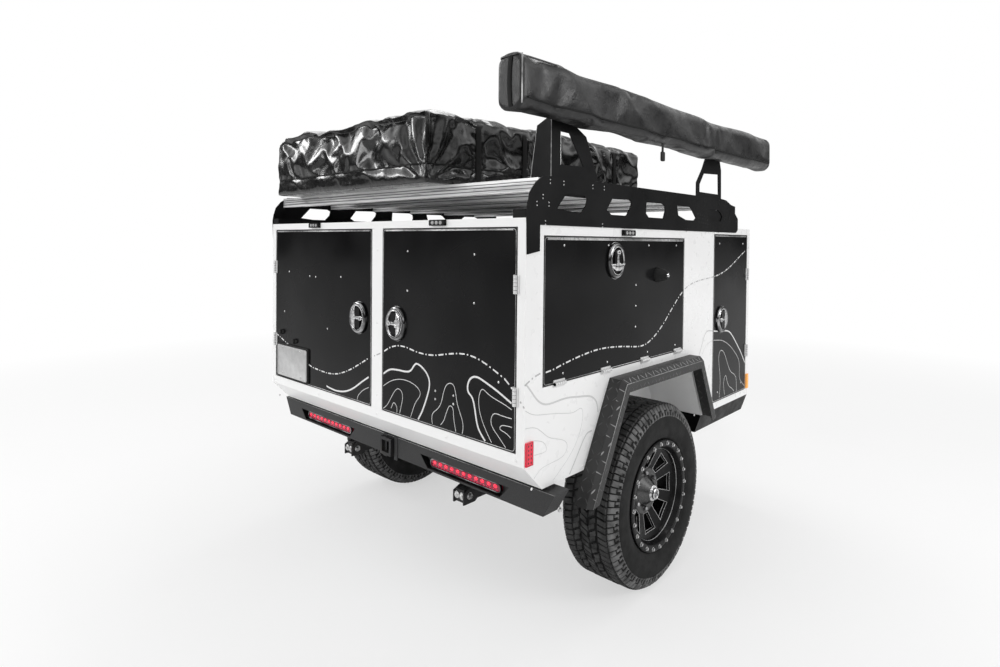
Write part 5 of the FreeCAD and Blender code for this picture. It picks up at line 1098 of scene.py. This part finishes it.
def ring_of(shapes, count):
    """The shapes of one pitch copied all the way round the wheel."""
    form = bmesh.new()
    for shape in shapes:
        form.from_mesh(shape)
    parts = list(form.verts) + list(form.edges) + list(form.faces)
    bmesh.ops.spin(form, geom=parts, cent=(0, 0, 0), axis=(0, 0, 1), angle=math.tau * (count - 1) / count,
                   steps=count - 1, use_duplicate=True)
    bmesh.ops.recalc_face_normals(form, faces=form.faces)
    ring = bpy.data.meshes.new("ring")
    form.to_mesh(ring)
    form.free()
    return ring


tread_ring = ring_of(pitch_blocks, PITCHES)
lug_ring = ring_of(pitch_lugs, PITCHES)
ring_bolt = hex_head(11, 6)
lug_nut = turned([(0, 16), (7, 16), (10, 13), (11, 0)], 6)
hub_ring = turned([(22, -1), (30.5, 0), (33, 1.2), (33, 4.5), (31, 6.5), (26, 7), (23.5, 7.6), (23.5, 17),
                   (21.5, 18.6), (17, 18.6), (15.5, 17), (15.5, 10), (0, 9.5)], 40)
ring_lip = turned([(226, -6), (228.6, -4), (228.6, 1.5), (226.5, 3), (222, 3.4), (208, 3.4), (203, 1.6),
                   (200.4, -3), (200.4, -12)], 96)
barrel_line = turned([(187.6, -1.5), (186.8, 0), (187.6, 1.5)], 96)
hub_cone = turned([(30.2, 88.6), (64.4, 51.0), (66, 50.4), (83.5, 50.4), (95, 54.8), (94, 55.4), (83, 51.6),
                   (66.5, 51.6), (31, 89.4)], 72)


def rim_window(middle, normals, run):
    """The outer edges of the rim's windows."""
    wheel = at(WHEEL_X, 0, WHEEL_Z)
    radius = math.hypot(middle.x - wheel.x, middle.z - wheel.z) * 1000
    outward = abs(middle.y - wheel.y) * 1000 - WHEEL_Y
    return WINDOW_FROM < radius < WINDOW_TO and outward > WINDOW_OUT


def circle(count, radius, out, first=0.0):
    """Places evenly round the wheel's axis, so far out along it."""
    return [turned_by((step + first) * 360 / count) @ moved_by(radius, 0, out) for step in range(count)]


for side, way in WAYS.items():
    body = "wheel_" + side
    hub = on(side, WHEEL_X, way * WHEEL_Y, WHEEL_Z)
    tyre = assemble("tyre_carcass_" + side, [(carcass, hub)], tyre_rubber, body, 40)
    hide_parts("tyre_" + side)
    assemble("tyre_blocks_" + side, [(tread_ring, hub)], block_rubber, body, 40)
    assemble("tyre_lugs_" + side, [(lug_ring, hub)], lug_rubber, body, 40)
    ring_place = hub @ moved_by(0, 0, RING_OUT)
    assemble("rim_ring_" + side, [(ring_lip, ring_place)], rim_black, body)
    bolts = [(ring_bolt, hub @ place) for place in circle(RING_BOLTS, RING_BOLT_RADIUS, RING_BOLT_OUT)]
    assemble("rim_ring_bolts_" + side, bolts, zinc, body)
    nuts = [(lug_nut, hub @ place) for place in circle(NUTS, NUT_RADIUS, NUT_OUT, 0.5)]
    assemble("lug_nuts_" + side, nuts, dark_chrome, body)
    assemble("hub_cap_" + side, [(hub_ring, hub @ moved_by(0, 0, HUB_OUT))], chrome, body)
    assemble("hub_cone_" + side, [(hub_cone, hub)], machined, body)
    pale_fold_rods("rim_folds_" + side, "rim_" + side, body, rim_window, 0.9, 35)
    line_place = hub @ moved_by(0, 0, BARREL_OUT)
    assemble("barrel_line_" + side, [(barrel_line, line_place)], pale_edge_and_painted_highlight, body)

# The roof rack's bars: aluminium extrusions with three slots along each side, drawn as thin dark lines
# of painted shade, brushed along their length and bolted through the side plates, which have pairs of
# pins and punched holes, the holes drawn as black discs of painted shade.
SLOT_HEIGHTS = (1.6195, 1.631, 1.6415)
RACK_OUT = 4
WINDOW_ENDS = (118, 193, 369, 444, 657, 727, 943, 1016, 1229, 1304, 1480, 1555)
PLATE_HOLES = [(x, 1644) for x in WINDOW_ENDS]
PLATE_HOLES += [(80, 1591), (49, 1567), (112, 1567), (94, 1505), (435, 1504), (782, 1505), (1126, 1502),
                (1473, 1503), (969, 1591), (940, 1567), (998, 1565), (1575, 1590), (1546, 1565), (1607, 1565)]
LAST_PINNED_X, PIN_SHIFT = 500, 6
VENT_X, VENT_Z, VENT_PITCH_X, VENT_PITCH_Z, VENT_LEAN, VENT_DROP = 1238, 1578, 25, 18, 6, 1.5
extrusion = Finish("brushed aluminium bar", 0.6, 0.3, 0.3)
brush = extrusion.cloud(48, 5, 0.65, stretch=(1, 0.035, 1))
bar_tone = extrusion.tint(extrusion.between(brush, 0, 1, 0.38, 0.62), (0.56, 0.56, 0.565), 0.97)
bar_height = extrusion.add("SeparateXYZ", {0: extrusion.place}).outputs[2]
# Thin dark lines at the slot heights: painted shade where the slots' grooves would be.
slot_shade = 0.0
for slot_height in SLOT_HEIGHTS:
    apart = extrusion.size(extrusion.sum("SUBTRACT", bar_height, slot_height))
    slot_shade = extrusion.sum("MAXIMUM", slot_shade, extrusion.between(apart, 1, 0, 0.0006, 0.0024))
extrusion.tone(slot_shade, bar_tone, 0.05)
extrusion.use("Roughness", extrusion.between(brush, 0.2, 0.42, 0.3, 0.7))
extrusion.grain(900, 2, 0.0002, 0.5, stretch=(1, 0.02, 1))
coat(extrusion, "rack_crossbars")
pin_head = dome_head(2.7, 1.6)
# Black discs where the side plates are punched and vented: painted shade in place of the holes.
vent = dome_head(4.0, 0.6)
rack_pins, hole_shade_discs = [], []
for side in WAYS:
    for x, z in PLATE_HOLES:
        heads = rack_pins if x < LAST_PINNED_X else hole_shade_discs
        for shift in (-PIN_SHIFT, PIN_SHIFT):
            heads.append((pin_head, on_cabin(side, x, z + shift, out=RACK_OUT)))
    for column in range(5):
        for row in range(3):
            x = VENT_X + column * VENT_PITCH_X + row * VENT_LEAN
            z = VENT_Z - row * VENT_PITCH_Z - column * VENT_DROP
            hole_shade_discs.append((vent, on_cabin(side, x, z, out=RACK_OUT)))
assemble("rack_pins", rack_pins, zinc, "trailer")
assemble("punched_hole_shade", hole_shade_discs, black_bowl_and_painted_shade, "trailer")

# The roof tent: folded flat under a travel cover of glossy black vinyl cloth, sewn as a box, pulled
# down over the mattress and gathered at the corners, and held to the bars by three webbing straps.
TENT_X, TENT_Y, TENT_FOOT = (-62, 1425), (-431, 679), 1653
TENT_LOW = at(TENT_X[0], TENT_Y[0], TENT_FOOT)
HEM_UP, STRAPS = 72, (200, 478, 1179)


def vinyl(name, dark, pale, roughness, weave):
    """A coated cloth: fine weave grain, small creases and a tone that drifts in soft patches."""
    if roughness < 0.3:
        cloth = Finish(name, dark, roughness, Specular_IOR_Level=0.35, Coat_Weight=0.45, Coat_Roughness=0.1)
    else:
        cloth = Finish(name, dark, roughness, Specular_IOR_Level=0.45)
    cloth.tone(cloth.patches(7, 5, 0.35, 0.75, 0.6), dark, pale)
    cloth.polish(22, 4, roughness - 0.08, roughness + 0.14)
    cloth.grain(26, 5, 0.004, 0.5, 0.62)
    cloth.grain(weave, 2, 0.0003, 0.5)
    return cloth


tent_vinyl = vinyl("glossy black tent vinyl", 0.002, 0.006, 0.2, 700)
awning_vinyl = vinyl("dark awning vinyl", (0.004, 0.004, 0.0043), (0.009, 0.009, 0.0094), 0.34, 900)
webbing = Finish("black webbing", 0.012, 0.8, Specular_IOR_Level=0.2)
webbing.tone(webbing.cloud(500, 2), 0.006, 0.02)
webbing.grain(900, 1, 0.0006, 0.8, stretch=(1, 1, 0.3))


def evaluated(piece):
    """A copy of a piece's mesh as its modifiers leave it."""
    return bpy.data.meshes.new_from_object(piece.evaluated_get(bpy.context.evaluated_depsgraph_get()))


def remeshed(name, form, voxel):
    """An even mesh over a soft piece's shape, ready to be worked as cloth."""
    mesh = bpy.data.meshes.new(name)
    form.to_mesh(mesh)
    form.free()
    piece = linked(name, mesh)
    even = piece.modifiers.new("even", "REMESH")
    even.mode = "VOXEL"
    even.voxel_size = voxel
    even.use_smooth_shade = True
    bpy.context.view_layer.update()
    piece.data = evaluated(piece)
    piece.modifiers.clear()
    piece.data.name = name
    bpy.data.meshes.remove(mesh)
    return piece


def work_cloth(piece, held, slack, pressure, frames, limit, bending):
    """Let loose cloth buckle into folds where it isn't held, and keep each point within a limit."""
    rest = [vertex.co.copy() for vertex in piece.data.vertices]
    group = piece.vertex_groups.new(name="held")
    for vertex in piece.data.vertices:
        weight = held(vertex.co, vertex.normal)
        if weight > 0:
            group.add([vertex.index], weight, "REPLACE")
    cloth = piece.modifiers.new("cloth", "CLOTH")
    settings = cloth.settings
    settings.quality = 5
    settings.mass = 0.35
    settings.tension_stiffness = settings.compression_stiffness = 12
    settings.shear_stiffness = 6
    settings.bending_stiffness = bending
    settings.tension_damping = settings.compression_damping = settings.shear_damping = 8
    settings.air_damping = 4
    settings.vertex_group_mass = "held"
    settings.shrink_min = -slack
    settings.use_pressure = True
    settings.uniform_pressure_force = pressure
    settings.effector_weights.gravity = 0
    cloth.collision_settings.use_collision = False
    cloth.point_cache.frame_start = 1
    cloth.point_cache.frame_end = frames
    for frame_number in range(1, frames + 1):
        bpy.context.scene.frame_set(frame_number)
    shaken = evaluated(piece)
    moved = [vertex.co.copy() for vertex in shaken.vertices]
    bpy.data.meshes.remove(shaken)
    piece.modifiers.clear()
    bpy.context.scene.frame_set(1)
    for vertex, first, last in zip(piece.data.vertices, rest, moved):
        step = last - first
        if step.length > limit:
            step *= limit / step.length
        vertex.co = first + step
    piece.vertex_groups.clear()


def soften(piece, finish, body):
    """Finish a soft piece: one round of subdivision, smooth shading, finish and what it rides on."""
    finer = piece.modifiers.new("finer", "SUBSURF")
    finer.levels = finer.render_levels = 1
    piece.data.shade_smooth()
    piece.data.materials.clear()
    piece.data.materials.append(finish.material)
    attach(piece, body)


def soft_step(value, low, high):
    """A share that eases from nothing at the low value to all at the high one."""
    share = min(max((value - low) / (high - low), 0.0), 1.0)
    return share * share * (3 - 2 * share)


def flatness(normal):
    """How flat a soft piece lies where it faces this way: less where it turns over an edge."""
    return max(abs(axis) for axis in normal)


def from_strap(spot):
    """How far a spot lies from the nearest strap."""
    return min(abs(spot.x - at(x, 0, 0).x) for x in STRAPS)


def fan(along, up):
    """Folds that run out from a low corner of the cover, as it is pulled tight there."""
    turn = math.atan2(up, along)
    away = math.hypot(along, up)
    wobble = noise.noise(Vector((along * 4, up * 4, 7.3)))
    return math.sin(turn * 13 + wobble * 2.2) * math.exp(-away / 0.6) * soft_step(away, 0.02, 0.12)


tent = remeshed("tent_cover", merged("roof_tent"), 0.012)
facings = [vertex.normal.copy() for vertex in tent.data.vertices]
for vertex, normal in zip(tent.data.vertices, facings):
    spot = vertex.co.copy()
    up = spot.z - TENT_LOW.z
    free = soft_step(up, 0.0, 0.07) * soft_step(from_strap(spot), 0.012, 0.07)
    free *= 0.3 + 0.7 * soft_step(flatness(normal), 0.75, 0.95)
    broad = noise.noise(Vector((spot.x * 3.3 + spot.z * 2, spot.y * 3.3, 1.7)))
    creased = noise.noise(Vector((spot.x * 6.5 + spot.z * 5, spot.y * 6.5 - spot.z * 6, 4.1)))
    push = 0.006 * broad + 0.008 * (1 - abs(creased) * 2.4)
    if abs(normal.y) > 0.6 and spot.y < TENT_LOW.y + 0.05:
        push += 0.018 * fan(spot.x - TENT_LOW.x, up)
    elif abs(normal.x) > 0.6 and spot.x < TENT_LOW.x + 0.05:
        push += 0.012 * fan(spot.y - TENT_LOW.y, up)
        push -= 0.024 * soft_step(up, 0.13, 0.25)
    hem_pull = 0.004 * math.exp(-((up - HEM_UP / 1000) / 0.008) ** 2)
    vertex.co = spot + normal * ((push - 0.008) * free - hem_pull)


def tent_held(spot, normal):
    """How firmly the tent's cover is held: at its foot, its hem, its edges and its straps."""
    up = spot.z - TENT_LOW.z
    if up < 0.016 or abs(up - HEM_UP / 1000) < 0.007:
        return 1.0
    if up < 0.066:
        return 0.85
    if flatness(normal) < 0.86:
        return 0.6
    return 1.0 if from_strap(spot) < 0.016 else 0.0


work_cloth(tent, tent_held, 0.035, 0.3, 24, 0.016, 0.5)
soften(tent, tent_vinyl, "trailer")
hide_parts("roof_tent")


def swept(section, places):
    """A section carried through a row of places."""
    form = bmesh.new()
    cap = form.faces.new([form.verts.new(places[0] @ Vector((x / 1000, y / 1000, 0))) for x, y in section])
    for last, place in zip(places, places[1:]):
        moved = bmesh.ops.extrude_face_region(form, geom=[cap])
        cap = next(part for part in moved["geom"] if isinstance(part, bmesh.types.BMFace))
        bmesh.ops.transform(form, matrix=place @ last.inverted(), verts=list(cap.verts))
    return keep(form)


def laid_band(name, carrier, rays, across, width, thick, finish, smooth=3):
    """A flat band laid over a soft piece, looked up from outside along a row of rays."""
    corners = [vertex.co for vertex in carrier.data.vertices]
    surface = BVHTree.FromPolygons(corners, [face.vertices for face in carrier.data.polygons])
    track = []
    for start, inward in rays:
        starts = [start + across * shift * width / 1000 for shift in (-0.5, 0.0, 0.5)]
        found = [surface.ray_cast(spot, inward) for spot in starts]
        reaches = [hit[3] for hit in found if hit[0] is not None]
        if reaches:
            track.append((start + inward * min(reaches), -inward))
    for _ in range(smooth):
        eased = []
        for first, middle, last in zip(track, track[1:], track[2:]):
            spot = (first[0] + 2 * middle[0] + last[0]) / 4
            eased.append((spot, (first[1] + 2 * middle[1] + last[1]).normalized()))
        track = [track[0]] + eased + [track[-1]]
    places = []
    for index, (spot, out) in enumerate(track):
        ahead = track[min(index + 1, len(track) - 1)][0] - track[max(index - 1, 0)][0]
        ahead = (ahead - across * ahead.dot(across)).normalized()
        crossed = across.cross(ahead)
        out = crossed.normalized() if crossed.dot(out) > 0 else ahead.cross(across).normalized()
        lie = Matrix((across, out, across.cross(out))).transposed().to_4x4()
        places.append(Matrix.Translation(spot + out * 0.0012) @ lie)
    half = width / 2
    section = [(-half, -1), (half, -1), (half, thick * 0.7), (half * 0.86, thick), (-half * 0.86, thick),
               (-half, thick * 0.7)]
    band = swept(section, places)
    return assemble(name, [(band, Matrix.Identity(4))], finish, "trailer", 50)


def toward(direction, starts):
    """Rays that set out from every start in one direction."""
    return [(start, direction) for start in starts]


FORWARD, LEFTWARD, UPWARD = Vector((1, 0, 0)), Vector((0, 1, 0)), Vector((0, 0, 1))
corner_out = Vector((1, -1, 0)).normalized()
corner_in = Vector((1, 1, 0)).normalized()
AWAY = 200
tent_rear, tent_front = TENT_X[0] - AWAY, TENT_X[1] + AWAY
tent_right, tent_left = TENT_Y[0] - AWAY, TENT_Y[1] + AWAY
for number, x in enumerate(STRAPS):
    up_right = toward(LEFTWARD, [at(x, tent_right, z) for z in range(1658, 1900, 12)])
    over_top = toward(-UPWARD, [at(x, y, 2200) for y in range(-424, 674, 18)])
    down_left = toward(-LEFTWARD, [at(x, tent_left, z) for z in range(1890, 1656, -12)])
    laid_band("tent_strap_%d" % (number + 1), tent, up_right + over_top + down_left, FORWARD, 27, 2.4,
              webbing, 4)
seam_rays = toward(corner_in, [at(tent_rear, tent_right, z) for z in range(1660, 1915, 8)])
laid_band("tent_corner_seam", tent, seam_rays, corner_out, 7, 3, tent_vinyl, 1)
hem_z = TENT_FOOT + HEM_UP
hem_y, hem_x = range(-420, 668, 10), range(-52, 1412, 10)
HEMS = {
    "rear": toward(FORWARD, [at(tent_rear, y, hem_z) for y in hem_y]),
    "right": toward(LEFTWARD, [at(x, tent_right, hem_z) for x in hem_x]),
    "left": toward(-LEFTWARD, [at(x, tent_left, hem_z) for x in hem_x]),
    "front": toward(-FORWARD, [at(tent_front, y, hem_z) for y in hem_y]),
}
for name, hem_rays in HEMS.items():
    laid_band("tent_hem_" + name, tent, hem_rays, UPWARD, 5, 1.6, webbing, 1)

# The awning: rolled up in its own bag of dark grey vinyl cloth, with piping down its rear corner painted
# pale as a highlight, a zip along its side, a strip on the end flap and a small clip below. Two bracket
# plates on the rack carry it.
AWNING_X, AWNING_Y = (-145.5, 1895.5), (-958, -855.5)
AWNING_REAR, AWNING_FRONT = at(AWNING_X[0], 0, 0).x, at(AWNING_X[1], 0, 0).x
AWNING_BACK = at(0, AWNING_Y[1], 0).y
CLIP_X, CLIP_Y, CLIP_Z = 760, -925, 1790
awning = remeshed("awning_cover", merged("awning_bag"), 0.009)
facings = [vertex.normal.copy() for vertex in awning.data.vertices]
for vertex, normal in zip(awning.data.vertices, facings):
    spot = vertex.co.copy()
    ends = soft_step(spot.x - AWNING_REAR, 0.0, 0.09) * soft_step(AWNING_FRONT - spot.x, 0.0, 0.09)
    fall, run = spot.x * 0.45 + spot.z * 0.89, spot.x * 0.89 - spot.z * 0.45
    gather = noise.noise(Vector((fall * 8.0, run * 1.6, 2.3)))
    ridge = 1 - abs(noise.noise(Vector((fall * 6.5, run * 1.1, 8.6)))) * 2.6
    vertex.co = spot + normal * (0.007 * gather + 0.005 * ridge - 0.006) * ends


def awning_held(spot, normal):
    """The awning's bag is held at its back and its two ends."""
    at_end = spot.x < AWNING_REAR + 0.012 or spot.x > AWNING_FRONT - 0.012
    return 1.0 if at_end or spot.y > AWNING_BACK - 0.004 else 0.0


work_cloth(awning, awning_held, 0.004, 0.2, 16, 0.005, 8.0)
soften(awning, awning_vinyl, "trailer")
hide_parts("awning_bag")
# The piping is painted pale: a painted highlight where it catches the light.
piping_painted_highlight = Finish("piping with painted highlight", 0.3, 0.3, Coat_Weight=0.3)
piping_painted_highlight.tone(piping_painted_highlight.patches(12, 3, 0.4, 0.6), 0.08, 0.62)
behind, beside = -345, AWNING_Y[0] - AWAY
piping_rays = toward(corner_in, [at(behind, beside, z) for z in range(1850, 1996, 6)])
strip_y = {z: -914 + 6 * math.sin((z - 1838) / 160 * math.pi) for z in range(1842, 1998, 6)}
strip_rays = toward(FORWARD, [at(behind, y, z) for z, y in strip_y.items()])
binding_rays = toward(FORWARD, [at(behind, y, 1993) for y in range(-950, -862, 6)])
zip_rays = toward(LEFTWARD, [at(x, beside, 1868) for x in range(-120, 1872, 12)])
laid_band("awning_piping", awning, piping_rays, corner_out, 4.5, 3.2, piping_painted_highlight, 1)
laid_band("awning_zip_strip", awning, strip_rays, LEFTWARD, 15, 2.2, webbing, 2)
laid_band("awning_end_binding", awning, binding_rays, UPWARD, 5, 2, awning_vinyl, 1)
laid_band("awning_zip", awning, zip_rays, UPWARD, 6, 1.4, webbing, 3)
clip_tab = plate(16, 44, 1.6)
clip_tab.transform(moved_by(0, 32, 2))
clip_body = plate(26, 38, 8, 6, 2, 3)
clip_place = on("right", CLIP_X, CLIP_Y, CLIP_Z)
assemble("awning_clip", [(clip_tab, clip_place), (clip_body, clip_place)], rubber, "trailer")

# The drawbar's end: a cast ball coupler with its locking lever, zinc plated, and the swivel jack
# whose tube is zinc plated too.
coat(zinc, "coupler", "jack_leg", "jack_crank")
